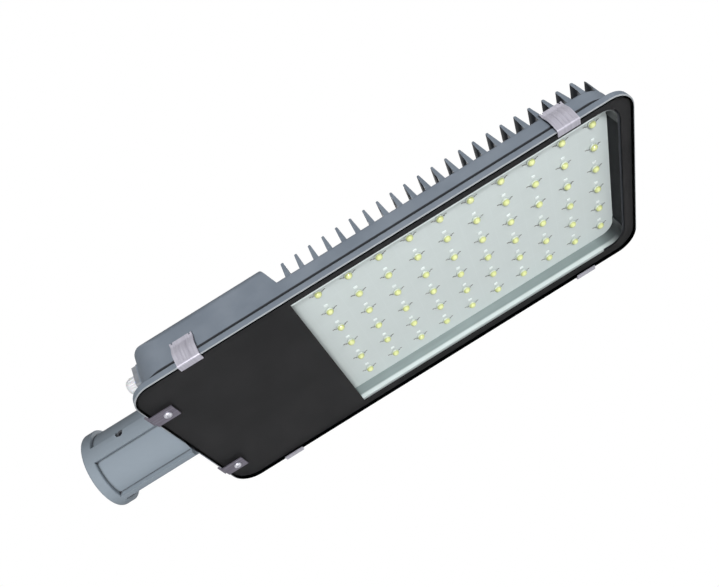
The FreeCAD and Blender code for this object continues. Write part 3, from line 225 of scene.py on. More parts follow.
def speckled(name, shader_values, tones, spot_mm, sheen_mm, roughness, grain=None):
    """A finish with spots of two tones, spots of another size between two roughnesses, and a relief
    where a grain is given: the size of its spots, its height and its strength."""
    finish, tree, shader, place = new_finish(name, shader_values)
    tree.links.new(between(tree, cloudy(tree, place, spot_mm), *tones), shader.inputs["Base Color"])
    tree.links.new(spread(tree, cloudy(tree, place, sheen_mm), *roughness), shader.inputs["Roughness"])
    if grain:
        grain_mm, height_mm, strength = grain
        raise_grain(tree, shader, cloudy(tree, place, grain_mm, detail=1.0), height_mm, strength)
    return finish


silicone = speckled("black silicone", {"Specular IOR Level": 0.25}, RUBBER_TONES, spot_mm=6, sheen_mm=2,
                    roughness=(0.62, 0.80), grain=(0.6, 0.03, 0.3))
coat(["gasket", "tab_bush_left", "tab_bush_right", "gland_seal"], silicone)


# Board. Aluminium-backed board on a grey silicone pad, under a white solder mask. The copper lands
# that feed the columns show through the mask as broad plates, a shade darker than the gaps.
MASK_LAND = (0.550, 0.606, 0.600, 1)
MASK_GAP = (0.560, 0.617, 0.612, 1)
MASK_STAIN, STAIN_SHARE = (0.475, 0.531, 0.536, 1), 0.22
PAD_TONES = ((0.24, 0.26, 0.29, 1), (0.31, 0.33, 0.37, 1))
COLUMNS, ROWS = 10, 6
COLUMN_PITCH, ROW_PITCH = 32 * MM, 29.6 * MM
FIRST_COLUMN = 273 * MM
LAND_GAP = 1.2 * MM

mask, tree, shader, place = new_finish("white solder mask", {"Specular IOR Level": 0.35})
links = tree.links
lands = shader_node(tree, "TexBrick", [
    ("Scale", 1.0), ("Mortar Size", LAND_GAP), ("Mortar Smooth", 1.0), ("Bias", 0.0),
    ("Brick Width", COLUMN_PITCH), ("Row Height", ROW_PITCH),
    ("Color1", MASK_LAND), ("Color2", MASK_LAND), ("Mortar", MASK_GAP)], offset=0.0)
centred = shader_node(tree, "Mapping", [("Location", (COLUMN_PITCH / 2 - FIRST_COLUMN, 0, 0))])
links.new(place, centred.inputs["Vector"])
links.new(centred.outputs["Vector"], lands.inputs["Vector"])
stain = figure(tree, "MULTIPLY", cloudy(tree, place, spot_mm=24), STAIN_SHARE)
links.new(over(tree, stain, lands.outputs["Color"], MASK_STAIN), shader.inputs["Base Color"])
links.new(spread(tree, cloudy(tree, place, spot_mm=5), 0.38, 0.55), shader.inputs["Roughness"])
raise_grain(tree, shader, lands.outputs["Fac"], height_mm=0.02, strength=0.15)
coat(["led_board"], mask)

pad_finish = speckled("grey silicone pad", {"Specular IOR Level": 0.2}, PAD_TONES, spot_mm=5, sheen_mm=2,
                      roughness=(0.7, 0.85))
coat(["thermal_pad"], pad_finish)


# Emitters. Sixty 1 W emitters in ten columns: a white moulded cup on two tinned leads, which step
# down to the board on each side, and a silicone dome over the yellow phosphor. Soldered by hand.
BOARD_FACE = -12.3 * MM
CUP_RADIUS, CUP_TOP, CUP_FOOT = 4.0 * MM, 1.8 * MM, 0.4 * MM
CUP_EDGE, CUP_DRAFT, CUP_SIDES = 0.3 * MM, 0.35 * MM, 24
CUP_TONES = ((0.50, 0.55, 0.48, 1), (0.60, 0.65, 0.58, 1))
DOME_FOOT = BOARD_FACE - CUP_FOOT - CUP_TOP
DOME_RADIUS, DOME_HEIGHT, DOME_SIDES, DOME_RINGS = 3.7 * MM, 3.0 * MM, 20, 7
# Painted shade and highlight on the domes: dark olive at the foot, pale yellow at the crown.
DOME_PAINTED_SHADING = ((0.0, (0.20, 0.23, 0.10, 1)), (0.35, (0.38, 0.43, 0.16, 1)),
              (0.78, (0.68, 0.73, 0.30, 1)), (1.0, (0.84, 0.87, 0.50, 1)))
PHOSPHOR = (0.60, 0.64, 0.28, 1)
LEAD_ROOT, LEAD_STEP, LEAD_BEND, LEAD_REACH = 1.6 * MM, 5.6 * MM, 0.7 * MM, 8.4 * MM
LEAD_HEIGHT, LEAD_WIDTH, LEAD_SHEET, SOLDER = 1.3 * MM, 0.75 * MM, 0.35 * MM, 0.01 * MM
LEAD_TONES = ((0.17, 0.17, 0.155, 1), (0.30, 0.30, 0.285, 1))


def turned_mesh(name, profile, sides, flute=None):
    """A closed mesh turned about Z through (radius, height) points; flute(angle) scales a radius
    that comes with a third value."""
    mesh = bpy.data.meshes.new(name)
    shape = bmesh.new()
    rings = []
    for radius, height, *grip in profile:
        if radius == 0:
            rings.append([shape.verts.new((0, 0, height))])
            continue
        ring = []
        for k in range(sides):
            angle = math.tau * k / sides
            reach = radius * (flute(angle) if flute and grip else 1)
            ring.append(shape.verts.new((reach * math.cos(angle), reach * math.sin(angle), height)))
        rings.append(ring)
    for low, high in zip(rings, rings[1:]):
        for k in range(sides):
            corners = [low[k % len(low)], low[(k + 1) % len(low)],
                       high[(k + 1) % len(high)], high[k % len(high)]]
            shape.faces.new(dict.fromkeys(corners))
    for ring, open_end in ((rings[0], profile[0][0]), (rings[-1], profile[-1][0])):
        if open_end:
            shape.faces.new(ring)
    bmesh.ops.recalc_face_normals(shape, faces=shape.faces)
    shape.to_mesh(mesh)
    shape.free()
    return mesh


def smooth(mesh, crease_degrees=40):
    """Rounds the shading of a mesh, except over its creases."""
    mesh.polygons.foreach_set("use_smooth", [True] * len(mesh.polygons))
    mesh.set_sharp_from_angle(angle=math.radians(crease_degrees))


def new_piece(name, mesh, finish=None):
    """Links a mesh into the scene as an object, with its finish."""
    piece = bpy.data.objects.new(name, mesh)
    bpy.context.scene.collection.objects.link(piece)
    if finish:
        mesh.materials.clear()
        mesh.materials.append(finish)
    return piece


def emitter_grid_tree():
    """Geometry Nodes: one piece repeated over the columns and rows of the board."""
    group = bpy.data.node_groups.new("emitter grid", "GeometryNodeTree")
    for name, kind in (("Piece", "Object"), ("Finish", "Material"), ("Columns", "Int"), ("Rows", "Int"),
                       ("Column Pitch", "Float"), ("Row Pitch", "Float"), ("First Column", "Float")):
        group.interface.new_socket(name, in_out="INPUT", socket_type="NodeSocket" + kind)
    group.interface.new_socket("Geometry", in_out="OUTPUT", socket_type="NodeSocketGeometry")
    entry = group.nodes.new("NodeGroupInput").outputs

    def step(kind, *inputs, **settings):
        made = group.nodes.new(kind)
        for setting, value in settings.items():
            setattr(made, setting, value)
        for socket, value in inputs:
            if isinstance(value, bpy.types.NodeSocket):
                group.links.new(value, made.inputs[socket])
            else:
                made.inputs[socket].default_value = value
        return made

    def count_less_one(count):
        return step("ShaderNodeMath", (0, count), (1, 1.0), operation="SUBTRACT").outputs[0]

    def times(first, second):
        return step("ShaderNodeMath", (0, first), (1, second), operation="MULTIPLY").outputs[0]

    along = times(count_less_one(entry["Columns"]), entry["Column Pitch"])
    across = times(count_less_one(entry["Rows"]), entry["Row Pitch"])
    points = step("GeometryNodeMeshGrid", ("Size X", along), ("Size Y", across),
                  ("Vertices X", entry["Columns"]), ("Vertices Y", entry["Rows"]))
    middle = step("ShaderNodeMath", (0, along), (1, 0.5), (2, entry["First Column"]),
                  operation="MULTIPLY_ADD").outputs[0]
    shift = step("ShaderNodeCombineXYZ", ("X", middle))
    placed = step("GeometryNodeSetPosition", ("Geometry", points.outputs["Mesh"]),
                  ("Offset", shift.outputs["Vector"]))
    sample = step("GeometryNodeObjectInfo", ("Object", entry["Piece"]))
    copies = step("GeometryNodeInstanceOnPoints", ("Points", placed.outputs["Geometry"]),
                  ("Instance", sample.outputs["Geometry"]))
    real = step("GeometryNodeRealizeInstances", ("Geometry", copies.outputs["Instances"]))
    dressed = step("GeometryNodeSetMaterial", ("Geometry", real.outputs["Geometry"]),
                   ("Material", entry["Finish"]))
    step("NodeGroupOutput", ("Geometry", dressed.outputs["Geometry"]))
    return group


emitter_grid = emitter_grid_tree()


def over_the_board(name, sample_mesh, finish):
    """The sample mesh at every emitter's place, as one plain piece."""
    sample = new_piece(name + "_sample", sample_mesh)
    piece = new_piece(name, bpy.data.meshes.new(name))
    modifier = piece.modifiers.new("grid", "NODES")
    modifier.node_group = emitter_grid
    values = {"Piece": sample, "Finish": finish, "Columns": COLUMNS, "Rows": ROWS,
              "Column Pitch": COLUMN_PITCH, "Row Pitch": ROW_PITCH, "First Column": FIRST_COLUMN}
    for socket in emitter_grid.interface.items_tree:
        if socket.in_out == "INPUT":
            modifier[socket.identifier] = values[socket.name]
    evaluated = piece.evaluated_get(bpy.context.evaluated_depsgraph_get())
    mesh = bpy.data.meshes.new_from_object(evaluated)
    piece.modifiers.remove(modifier)
    piece.data = mesh
    bpy.data.objects.remove(sample)
    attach(piece, "root")
    return piece


tinned = speckled("tinned copper leads", {"Metallic": 0.85}, LEAD_TONES, spot_mm=1.5, sheen_mm=1,
                  roughness=(0.35, 0.6))
lead_mesh = bpy.data.meshes.new("lead sample")
shape = bmesh.new()
for side in (-1, 1):
    rails = []
    for x, height in ((LEAD_ROOT, LEAD_HEIGHT), (LEAD_STEP, LEAD_HEIGHT),
                      (LEAD_STEP + LEAD_BEND, LEAD_SHEET), (LEAD_REACH, LEAD_SHEET)):
        foot = height - LEAD_SHEET + SOLDER
        rails.append([shape.verts.new((side * x, side * y, BOARD_FACE - z)) for y, z in (
            (-LEAD_WIDTH / 2, height), (LEAD_WIDTH / 2, height),
            (LEAD_WIDTH / 2, foot), (-LEAD_WIDTH / 2, foot))])
    for first, second in zip(rails, rails[1:]):
        for k in range(4):
            shape.faces.new((first[k], first[(k + 1) % 4], second[(k + 1) % 4], second[k]))
    shape.faces.new(rails[0])
    shape.faces.new(rails[-1])
bmesh.ops.recalc_face_normals(shape, faces=shape.faces)
shape.to_mesh(lead_mesh)
shape.free()
leads = over_the_board("emitter_leads", lead_mesh, tinned)
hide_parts("led_frames")

resin = speckled("white moulded resin", {"Specular IOR Level": 0.4}, CUP_TONES, spot_mm=3, sheen_mm=1.5,
                 roughness=(0.35, 0.5))
cup_mesh = turned_mesh("cup sample", [
    (0, BOARD_FACE - CUP_FOOT), (CUP_RADIUS - CUP_EDGE, BOARD_FACE - CUP_FOOT),
    (CUP_RADIUS, BOARD_FACE - CUP_FOOT - CUP_EDGE), (CUP_RADIUS, BOARD_FACE - CUP_TOP),
    (CUP_RADIUS - CUP_DRAFT, DOME_FOOT), (0, DOME_FOOT)], CUP_SIDES)
smooth(cup_mesh)
cups = over_the_board("emitter_cups", cup_mesh, resin)
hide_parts("led_bodies")

dome_finish, tree, shader, place = new_finish("silicone over yellow phosphor", {
    "Coat Weight": 1.0, "Coat Roughness": 0.04, "Coat IOR": 1.42, "Specular IOR Level": 0.3,
    "Roughness": 0.35})
# The dome's colour runs from painted shade at its foot to a painted highlight at its crown.
dome_shading = shader_node(tree, "ValToRGB")
stops = dome_shading.color_ramp.elements
for band in DOME_PAINTED_SHADING[1:-1]:
    stops.new(band[0])
for stop, (position, colour) in zip(stops, DOME_PAINTED_SHADING):
    stop.position = position
    stop.color = colour
depth = rise(tree, axes(tree, place)["Z"], DOME_FOOT, DOME_FOOT - DOME_HEIGHT)
tree.links.new(depth, dome_shading.inputs["Fac"])
tree.links.new(over(tree, cloudy(tree, place, spot_mm=2.2), dome_shading.outputs["Color"], PHOSPHOR),
               shader.inputs["Base Color"])
dome_profile = [(0, DOME_FOOT), (DOME_RADIUS, DOME_FOOT)]
for ring in range(1, DOME_RINGS):
    up = ring / DOME_RINGS * math.pi / 2
    dome_profile.append((DOME_RADIUS * math.cos(up), DOME_FOOT - DOME_HEIGHT * math.sin(up)))
dome_profile.append((0, DOME_FOOT - DOME_HEIGHT))
dome_mesh = turned_mesh("dome sample", dome_profile, DOME_SIDES)
smooth(dome_mesh, crease_degrees=60)
domes = over_the_board("emitter_domes", dome_mesh, dome_finish)
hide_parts("led_lenses")


# White chips. A small white block beside each emitter, a painted highlight put on the board as a
# solid piece with rounded edges, which sits flat on the board.
CHIP_LENGTH, CHIP_WIDTH, CHIP_HEIGHT = 4.2 * MM, 3.0 * MM, 0.8 * MM
CHIP_OFFSET, CHIP_EDGE = -8.6 * MM, 0.35 * MM
# The chips' white is a painted highlight beside each emitter.
CHIP_HIGHLIGHT_TONES = ((0.70, 0.755, 0.75, 1), (0.76, 0.81, 0.805, 1))

highlight_white = speckled("white painted highlight", {"Specular IOR Level": 0.4}, CHIP_HIGHLIGHT_TONES, spot_mm=2, sheen_mm=1,
                   roughness=(0.4, 0.55))
chip_mesh = bpy.data.meshes.new("chip sample")
shape = bmesh.new()
bmesh.ops.create_cube(shape, size=1, matrix=Matrix.Translation(
    (0, CHIP_OFFSET, BOARD_FACE - CHIP_HEIGHT / 2)) @ Matrix.Diagonal(
    (CHIP_LENGTH, CHIP_WIDTH, CHIP_HEIGHT, 1)))
bmesh.ops.bevel(shape, geom=shape.edges[:], offset=CHIP_EDGE, segments=2, affect="EDGES")
shape.to_mesh(chip_mesh)
shape.free()
smooth(chip_mesh)
chips = over_the_board("bypass_chips", chip_mesh, highlight_white)


# Side strips. Two strips of bright anodised aluminium sheet along the chamber's long walls; they
# throw stray light out through the pane. Their lower lip gets a painted highlight, and the return
# round the tip corner painted shade, nearly black.
STRIP_TONES = ((0.215, 0.262, 0.262, 1), (0.275, 0.327, 0.327, 1))
# Painted highlight on the strips' lower lip; painted shade on their return round the tip.
STRIP_LIP, STRIP_LIP_FADE, STRIP_LIP_HIGHLIGHT = -0.0245, 0.002, (0.66, 0.73, 0.73, 1)
STRIP_BEND, STRIP_BEND_RUN, STRIP_BEND_SHADE = 0.552, 0.022, (0.028, 0.031, 0.034, 1)

anodised, tree, shader, place = new_finish("bright anodised sheet", {"Metallic": 0.25})
links = tree.links
spot = axes(tree, place)
tone = between(tree, cloudy(tree, place, spot_mm=14, stretch=(0.12, 1, 1)), *STRIP_TONES)
# Painted highlight along the strips' lower lip.
tone = over(tree, rise(tree, spot["Z"], STRIP_LIP + STRIP_LIP_FADE, STRIP_LIP), tone, STRIP_LIP_HIGHLIGHT)
# Painted shade, nearly black, on the strips' return round the tip corner.
tone = over(tree, rise(tree, spot["X"], STRIP_BEND, STRIP_BEND + STRIP_BEND_RUN), tone, STRIP_BEND_SHADE)
links.new(tone, shader.inputs["Base Color"])
sheen = cloudy(tree, place, spot_mm=1.2, stretch=(0.03, 1, 1))
links.new(spread(tree, sheen, 0.26, 0.42), shader.inputs["Roughness"])
rolled = cloudy(tree, place, spot_mm=0.5, stretch=(0.02, 1, 1))
raise_grain(tree, shader, rolled, height_mm=0.01, strength=0.3)
coat(["side_reflector_left", "side_reflector_right"], anodised)


# Printed border. Black ceramic enamel, screened on the pane's inner face and fired into it. It is the
# CAD mesh, welded and with a hair of its thickness left free on the glass side, so that the two faces
# never lie in one plane.
PANE_INNER, PRINT_LIFT, WELD = -29.0 * MM, 0.02 * MM, 0.001 * MM
ENAMEL_TONES = ((0.020, 0.020, 0.021, 1), (0.025, 0.025, 0.026, 1))

enamel, tree, shader, place = new_finish("fired black enamel", {"Specular IOR Level": 0.05})
links = tree.links
patches = cloudy(tree, place, spot_mm=70, detail=2.0)
links.new(between(tree, patches, *ENAMEL_TONES), shader.inputs["Base Color"])
links.new(spread(tree, cloudy(tree, place, spot_mm=40), 0.5, 0.6), shader.inputs["Roughness"])
enamel_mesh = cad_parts["printed_border"].data.copy()
if "custom_normal" in enamel_mesh.attributes:
    enamel_mesh.attributes.remove(enamel_mesh.attributes["custom_normal"])
print_shape = bmesh.new()
print_shape.from_mesh(enamel_mesh)
bmesh.ops.remove_doubles(print_shape, verts=print_shape.verts, dist=WELD)
for vertex in print_shape.verts:
    if vertex.co.z < PANE_INNER + PRINT_LIFT:
        vertex.co.z += PRINT_LIFT
for face in print_shape.faces:
    face.smooth = False
print_shape.to_mesh(enamel_mesh)
print_shape.free()
border = new_piece("enamel_border", enamel_mesh, enamel)
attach(border, "root")
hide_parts("printed_border")


# Pane. Four millimetres of toughened low-iron glass, held up by the clips' lips. Its dulled face
# mirrors only at a flat angle and is clear straight through, so that lamp light reaches the board;
# its ground edge is drawn opaque and almost black, glass seen edge-on with painted shade of the gap
# at the rim.
GLASS_INDEX, DULLED = 1.15, 0.03
EDGE_TURN = 0.7  # a face that looks less than this along Z is part of the edge
MIRROR_TINT = (0.95, 0.97, 0.97, 1)
# Partly painted shade: the pane's edge, opaque and almost black.
EDGE_PAINTED_SHADE = (0.012, 0.016, 0.016, 1)

glass, tree, shader, place = new_finish("toughened glass", {"Metallic": 1.0})
links = tree.links
turned = axes(tree, shader_node(tree, "TexCoord").outputs["Normal"])
on_edge = figure(tree, "LESS_THAN", figure(tree, "ABSOLUTE", turned["Z"]), EDGE_TURN)
mirror = shader_node(tree, "Fresnel", [("IOR", GLASS_INDEX)]).outputs["Fac"]
front = figure(tree, "SUBTRACT", 1.0, shader_node(tree, "NewGeometry").outputs["Backfacing"])
seen_mirror = figure(tree, "MULTIPLY", rise(tree, mirror, DULLED, 1.0), front)
links.new(figure(tree, "MAXIMUM", seen_mirror, on_edge), shader.inputs["Alpha"])
# The edge faces get the almost black colour, partly painted shade.
links.new(over(tree, on_edge, MIRROR_TINT, EDGE_PAINTED_SHADE), shader.inputs["Base Color"])
links.new(spread(tree, cloudy(tree, place, spot_mm=30), 0.03, 0.07), shader.inputs["Roughness"])
coat(["glass_cover"], glass)


# Spring clips. Four arched clips rolled from one millimetre stainless sheet. Each has a lip under
# the pane, a web with pressed stiffening grooves and slit top corners, and a tongue bent back from
# the web, which snaps into the groove over the rim.
CLIP_SHEET = 1.0 * MM
CLIP_HALF_WIDTH = 11.0 * MM
CLIP_STEPS = 44  # faces across the clip
PANE_LEVEL = -33.0 * MM
CLIP_PATH = [  # distance from the middle, height over the pane's face, bend of the sheet's middle
    (105.5, -0.5, 0), (112.1, -0.5, 1.5), (114.9, 12.0, 12.5), (112.2, 21.5, 3.5), (113.1, 25.6, 0)]
CLIP_GROOVES = [(-7.6, 0.6, 0.35), (-3.4, 0.7, 0.65), (-0.6, 0.5, 0.35), (3.0, 0.8, 0.70),
                (6.8, 0.6, 0.45)]  # place across the clip, half width, depth
PRESS_START, PRESS_RUN_IN = 1.5, 1.5  # heights over the pane's face, as the next two
PRESS_END, PRESS_RUN_OUT = 23.0, 3.0
CLIP_SLITS = [(-8.7, 0.8, 1.9), (8.7, 0.8, 1.9)]  # place across the clip, half width, depth
TONGUE_HALF = 7.0 * MM
TONGUE_LEVEL = 9.05 * MM
TONGUE_REACH = (107.9 * MM, 114.0 * MM)
CLIPS = {"clip_rear": 154.6 * MM, "clip_front": 526.6 * MM}
CLIP_TONES = ((0.37, 0.36, 0.415, 1), (0.45, 0.44, 0.50, 1))


def bent_line(corners, arc_steps=6):
    """Points along a bent sheet's middle line, with an arc at each corner that has a bend."""
    line = []
    for k, (across, up, bend) in enumerate(corners):
        corner = Vector((across, up))
        if not bend:
            line.append(corner)
            continue
        back = (Vector(corners[k - 1][:2]) - corner).normalized()
        ahead = (Vector(corners[k + 1][:2]) - corner).normalized()
        half = back.angle(ahead) / 2
        run = bend / math.tan(half)
        centre = corner + (back + ahead).normalized() * (bend / math.sin(half))
        first = corner + back * run - centre
        sweep = first.angle_signed(corner + ahead * run - centre)
        for turn in range(arc_steps + 1):
            line.append(centre + Matrix.Rotation(-sweep * turn / arc_steps, 2) @ first)
    return line


def evened(line, pitch):
    """The same line with points a pitch apart at most."""
    points = [line[0]]
    for start, end in zip(line, line[1:]):
        parts = max(1, math.ceil((end - start).length / pitch))
        points += [start.lerp(end, part / parts) for part in range(1, parts + 1)]
    return points


def clip_mesh(name, middle, side):
    """The clip's sheet as a grid along its path and across its width, and its tongue."""
    path = evened(bent_line(CLIP_PATH), pitch=1.0)
    shape = bmesh.new()
    rows = []
    for k, point in enumerate(path):
        along = (path[min(k + 1, len(path) - 1)] - path[max(k - 1, 0)]).normalized()
        outward = Vector((along.y, -along.x))
        pressed = min(1, max(0, (point.y - PRESS_START) / PRESS_RUN_IN))
        pressed *= min(1, max(0, (PRESS_END - point.y) / PRESS_RUN_OUT))
        row = []
        for step in range(CLIP_STEPS + 1):
            across = (2 * step / CLIP_STEPS - 1) * CLIP_HALF_WIDTH / MM
            sink = sum(depth * math.exp(-((across - place) / half) ** 2)
                       for place, half, depth in CLIP_GROOVES)
            level = point - outward * sink * pressed
            row.append(shape.verts.new((middle + across * MM, side * level.x * MM,
                                        PANE_LEVEL + level.y * MM)))
        rows.append(row)
    top = path[-1].y
    for k, (low, high) in enumerate(zip(rows, rows[1:])):
        for step in range(CLIP_STEPS):
            across = (2 * (step + 0.5) / CLIP_STEPS - 1) * CLIP_HALF_WIDTH / MM
            slit = any(abs(across - place) < half and path[k].y > top - depth
                       for place, half, depth in CLIP_SLITS)
            if not slit:
                shape.faces.new((low[step], low[step + 1], high[step + 1], high[step]))
    tongue = [shape.verts.new((middle + x, side * y, PANE_LEVEL + TONGUE_LEVEL))
              for x, y in ((-TONGUE_HALF, TONGUE_REACH[0]), (TONGUE_HALF, TONGUE_REACH[0]),
                           (TONGUE_HALF, TONGUE_REACH[1]), (-TONGUE_HALF, TONGUE_REACH[1]))]
    shape.faces.new(tongue)
    for vertex in [v for v in shape.verts if not v.link_faces]:
        shape.verts.remove(vertex)
    mesh = bpy.data.meshes.new(name)
    shape.to_mesh(mesh)
    shape.free()
    return mesh


spring_steel, tree, shader, place = new_finish("rolled spring steel", {"Metallic": 0.6})
links = tree.links
brushed = cloudy(tree, place, spot_mm=1.6, stretch=(1, 0.04, 0.04))
links.new(between(tree, brushed, *CLIP_TONES), shader.inputs["Base Color"])
sheen = cloudy(tree, place, spot_mm=2.5, stretch=(1, 0.1, 0.1))
links.new(spread(tree, sheen, 0.34, 0.50), shader.inputs["Roughness"])
raise_grain(tree, shader, brushed, height_mm=0.01, strength=0.15)

for clip_name, middle in CLIPS.items():
    for side_name, side in (("left", -1), ("right", 1)):
        name = f"{clip_name}_{side_name}"
        clip = new_piece("spring_" + name, clip_mesh(name, middle, side), spring_steel)
        sheet = clip.modifiers.new("sheet", "SOLIDIFY")
        sheet.thickness = CLIP_SHEET
        sheet.offset = 0
        evaluated = clip.evaluated_get(bpy.context.evaluated_depsgraph_get())
        solid = bpy.data.meshes.new_from_object(evaluated)
        clip.modifiers.remove(sheet)
        clip.data = solid
        smooth(solid, crease_degrees=35)
        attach(clip, "root")
        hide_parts(name)


# Hinge tabs. Two leaves of dulled steel sheet on the pane's rear edge. Each is bent up round the
# glass, hooked through a slot in the rim and held by a screw, so that the pane can hang from them.
TAB_TONES = ((0.120, 0.110, 0.140, 1), (0.180, 0.168, 0.205, 1))

tab_steel, tree, shader, place = new_finish("dulled steel sheet", {"Metallic": 0.6})
links = tree.links
brushed = cloudy(tree, place, spot_mm=1.4, stretch=(0.05, 1, 1))
links.new(between(tree, brushed, *TAB_TONES), shader.inputs["Base Color"])
links.new(spread(tree, cloudy(tree, place, spot_mm=3), 0.38, 0.55), shader.inputs["Roughness"])
raise_grain(tree, shader, brushed, height_mm=0.02, strength=0.3)
coat(["hinge_tab_left", "hinge_tab_right"], tab_steel)


# Screws. Pan-headed stainless screws with a cross recess hold the tabs; plain ones hold the driver
# and the earth wire inside the bay. Headed cold, then rolled and left bright.
HEAD_RADIUS, HEAD_HEIGHT, HEAD_RIM, HEAD_RINGS = 3.8 * MM, 2.4 * MM, 0.7 * MM, 7
SHANK_RADIUS, SCREW_SIDES = 2.0 * MM, 32
RECESS_REACH, RECESS_WIDTH, RECESS_DEPTH = 2.0 * MM, 0.9 * MM, 1.4 * MM
RECESS_MOUTH, RECESS_FOOT = 1.1, 0.55
TAB_SEAT = -34.2 * MM
SHANK_TOP = -19.0 * MM
TAB_SCREW_X, TAB_SCREW_Y = 104.6 * MM, 66.0 * MM
TAB_SCREWS = (("left", -1, -15), ("right", 1, 65))  # name, side, turn of the recess
SCREW_TONES = ((0.50, 0.50, 0.55, 1), (0.66, 0.66, 0.71, 1))

bright_steel = speckled("bright screw steel", {"Metallic": 0.75}, SCREW_TONES, spot_mm=1.2, sheen_mm=0.8,
                        roughness=(0.25, 0.40))
coat(["driver_screw_front", "driver_screw_rear", "earth_screw"], bright_steel)

head_profile = [(0, TAB_SEAT - HEAD_HEIGHT)]
for ring in range(1, HEAD_RINGS):
    out = ring / HEAD_RINGS * math.pi / 2
    head_profile.append((HEAD_RADIUS * math.sin(out),
                         TAB_SEAT - HEAD_RIM - (HEAD_HEIGHT - HEAD_RIM) * math.cos(out)))
head_profile += [(HEAD_RADIUS, TAB_SEAT - HEAD_RIM), (HEAD_RADIUS, TAB_SEAT), (SHANK_RADIUS, TAB_SEAT),
                 (SHANK_RADIUS, SHANK_TOP), (0, SHANK_TOP)]
for side_name, side, recess_turn in TAB_SCREWS:
    at = Matrix.Translation((TAB_SCREW_X, side * TAB_SCREW_Y, 0)) @ Matrix.Rotation(
        math.radians(recess_turn), 4, "Z")
    screw_mesh = turned_mesh("pan head " + side_name, head_profile, SCREW_SIDES)
    screw = new_piece("pan_head_screw_" + side_name, screw_mesh, bright_steel)
    recess_mesh = bpy.data.meshes.new("cross recess")
    shape = bmesh.new()
    low, high = TAB_SEAT - HEAD_HEIGHT - MM, TAB_SEAT - HEAD_HEIGHT + RECESS_DEPTH
    mouth, foot = [], []
    for ring, level, shrink in ((mouth, low, RECESS_MOUTH), (foot, high, RECESS_FOOT)):
        for quarter in range(4):
            turn = Matrix.Rotation(quarter * math.pi / 2, 3, "Z")
            for x, y in ((RECESS_WIDTH / 2, RECESS_WIDTH / 2), (RECESS_WIDTH / 2, RECESS_REACH),
                         (-RECESS_WIDTH / 2, RECESS_REACH)):
                ring.append(shape.verts.new(turn @ Vector((x * shrink, y * shrink, level))))
    for k in range(len(mouth)):
        following = (k + 1) % len(mouth)
        shape.faces.new((mouth[k], mouth[following], foot[following], foot[k]))
    shape.faces.new(mouth)
    shape.faces.new(foot)
    bmesh.ops.recalc_face_normals(shape, faces=shape.faces)
    shape.to_mesh(recess_mesh)
    shape.free()
    recess = new_piece("recess", recess_mesh)
    cut = screw.modifiers.new("cross recess", "BOOLEAN")
    cut.operation = "DIFFERENCE"
    cut.object = recess
    cut.solver = "EXACT"
    evaluated = screw.evaluated_get(bpy.context.evaluated_depsgraph_get())
    finished = bpy.data.meshes.new_from_object(evaluated)
    screw.modifiers.remove(cut)
    bpy.data.objects.remove(recess)
    finished.transform(at)
    screw.data = finished
    smooth(finished, crease_degrees=35)
    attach(screw, "root")
    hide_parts("tab_screw_" + side_name)


# Clamp screws. Headless screws of blackened steel with a six-sided socket, in the sides of the pole
# socket; they bite on the pole.
BLACKENED_TONES = ((0.045, 0.048, 0.055, 1), (0.085, 0.09, 0.10, 1))

blackened = speckled("blackened steel", {"Metallic": 0.7}, BLACKENED_TONES, spot_mm=1.5, sheen_mm=1,
                     roughness=(0.35, 0.5))
coat(["clamp_screw_left", "clamp_screw_right"], blackened)


# Cable gland. Stem, locknut and dome nut moulded in light grey nylon, on a square flange of a darker
# one, with a rubber seal. The nut's grip has twelve flutes. The mains cable enters here.
GLAND_PLACE = (94.5 * MM, -78.5 * MM, 5.0 * MM)
NUT_RADIUS, NUT_LENGTH, NUT_BORE, CABLE_RADIUS = 8.0 * MM, 12.0 * MM, 6.1 * MM, 3.5 * MM
NUT_END, NUT_WELD, NUT_SIDES, NUT_FLUTES, FLUTE_DEPTH = 1.4 * MM, 0.01 * MM, 96, 12, 0.09
NYLON_TONES = ((0.60, 0.61, 0.63, 1), (0.70, 0.71, 0.72, 1))
FLANGE_TONES = ((0.20, 0.215, 0.235, 1), (0.27, 0.285, 0.305, 1))
NYLON_GRAIN = (0.5, 0.02, 0.3)  # spots and height in millimetres, strength

nylon = speckled("light grey nylon", {"Subsurface Weight": 0.08, "Subsurface Scale": 0.002},
                 NYLON_TONES, spot_mm=9, sheen_mm=2, roughness=(0.42, 0.58), grain=NYLON_GRAIN)
coat(["gland_stem", "gland_locknut"], nylon)
grey_nylon = speckled("grey nylon flange", {"Specular IOR Level": 0.4}, FLANGE_TONES, spot_mm=9,
                      sheen_mm=2, roughness=(0.45, 0.6), grain=NYLON_GRAIN)
coat(["gland_flange"], grey_nylon)


def flute(angle):
    """The grip's radius round the nut, drawn in at each flute."""
    return 1 - FLUTE_DEPTH * max(0, math.cos(NUT_FLUTES * angle)) ** 2


nut_profile = [
    (NUT_BORE, 0), (NUT_RADIUS * 0.94, 0), (NUT_RADIUS, 0.5 * MM, True), (NUT_RADIUS, 2.8 * MM, True),
    (NUT_RADIUS, 5.2 * MM, True), (NUT_RADIUS, 7.4 * MM, True), (NUT_RADIUS * 0.93, 8.4 * MM),
    (NUT_RADIUS * 0.86, 10.2 * MM), (NUT_RADIUS * 0.74, 11.4 * MM), (NUT_RADIUS * 0.60, NUT_LENGTH),
    (CABLE_RADIUS, NUT_LENGTH), (CABLE_RADIUS, NUT_LENGTH - NUT_END),
    (NUT_BORE, NUT_LENGTH - NUT_END), (NUT_BORE, 0)]
nut_mesh = turned_mesh("dome nut", nut_profile, NUT_SIDES, flute)
open_nut = bmesh.new()
open_nut.from_mesh(nut_mesh)
end_caps = [face for face in open_nut.faces if len(face.verts) > 4]
bmesh.ops.delete(open_nut, geom=end_caps, context="FACES_ONLY")
bmesh.ops.remove_doubles(open_nut, verts=open_nut.verts, dist=NUT_WELD)
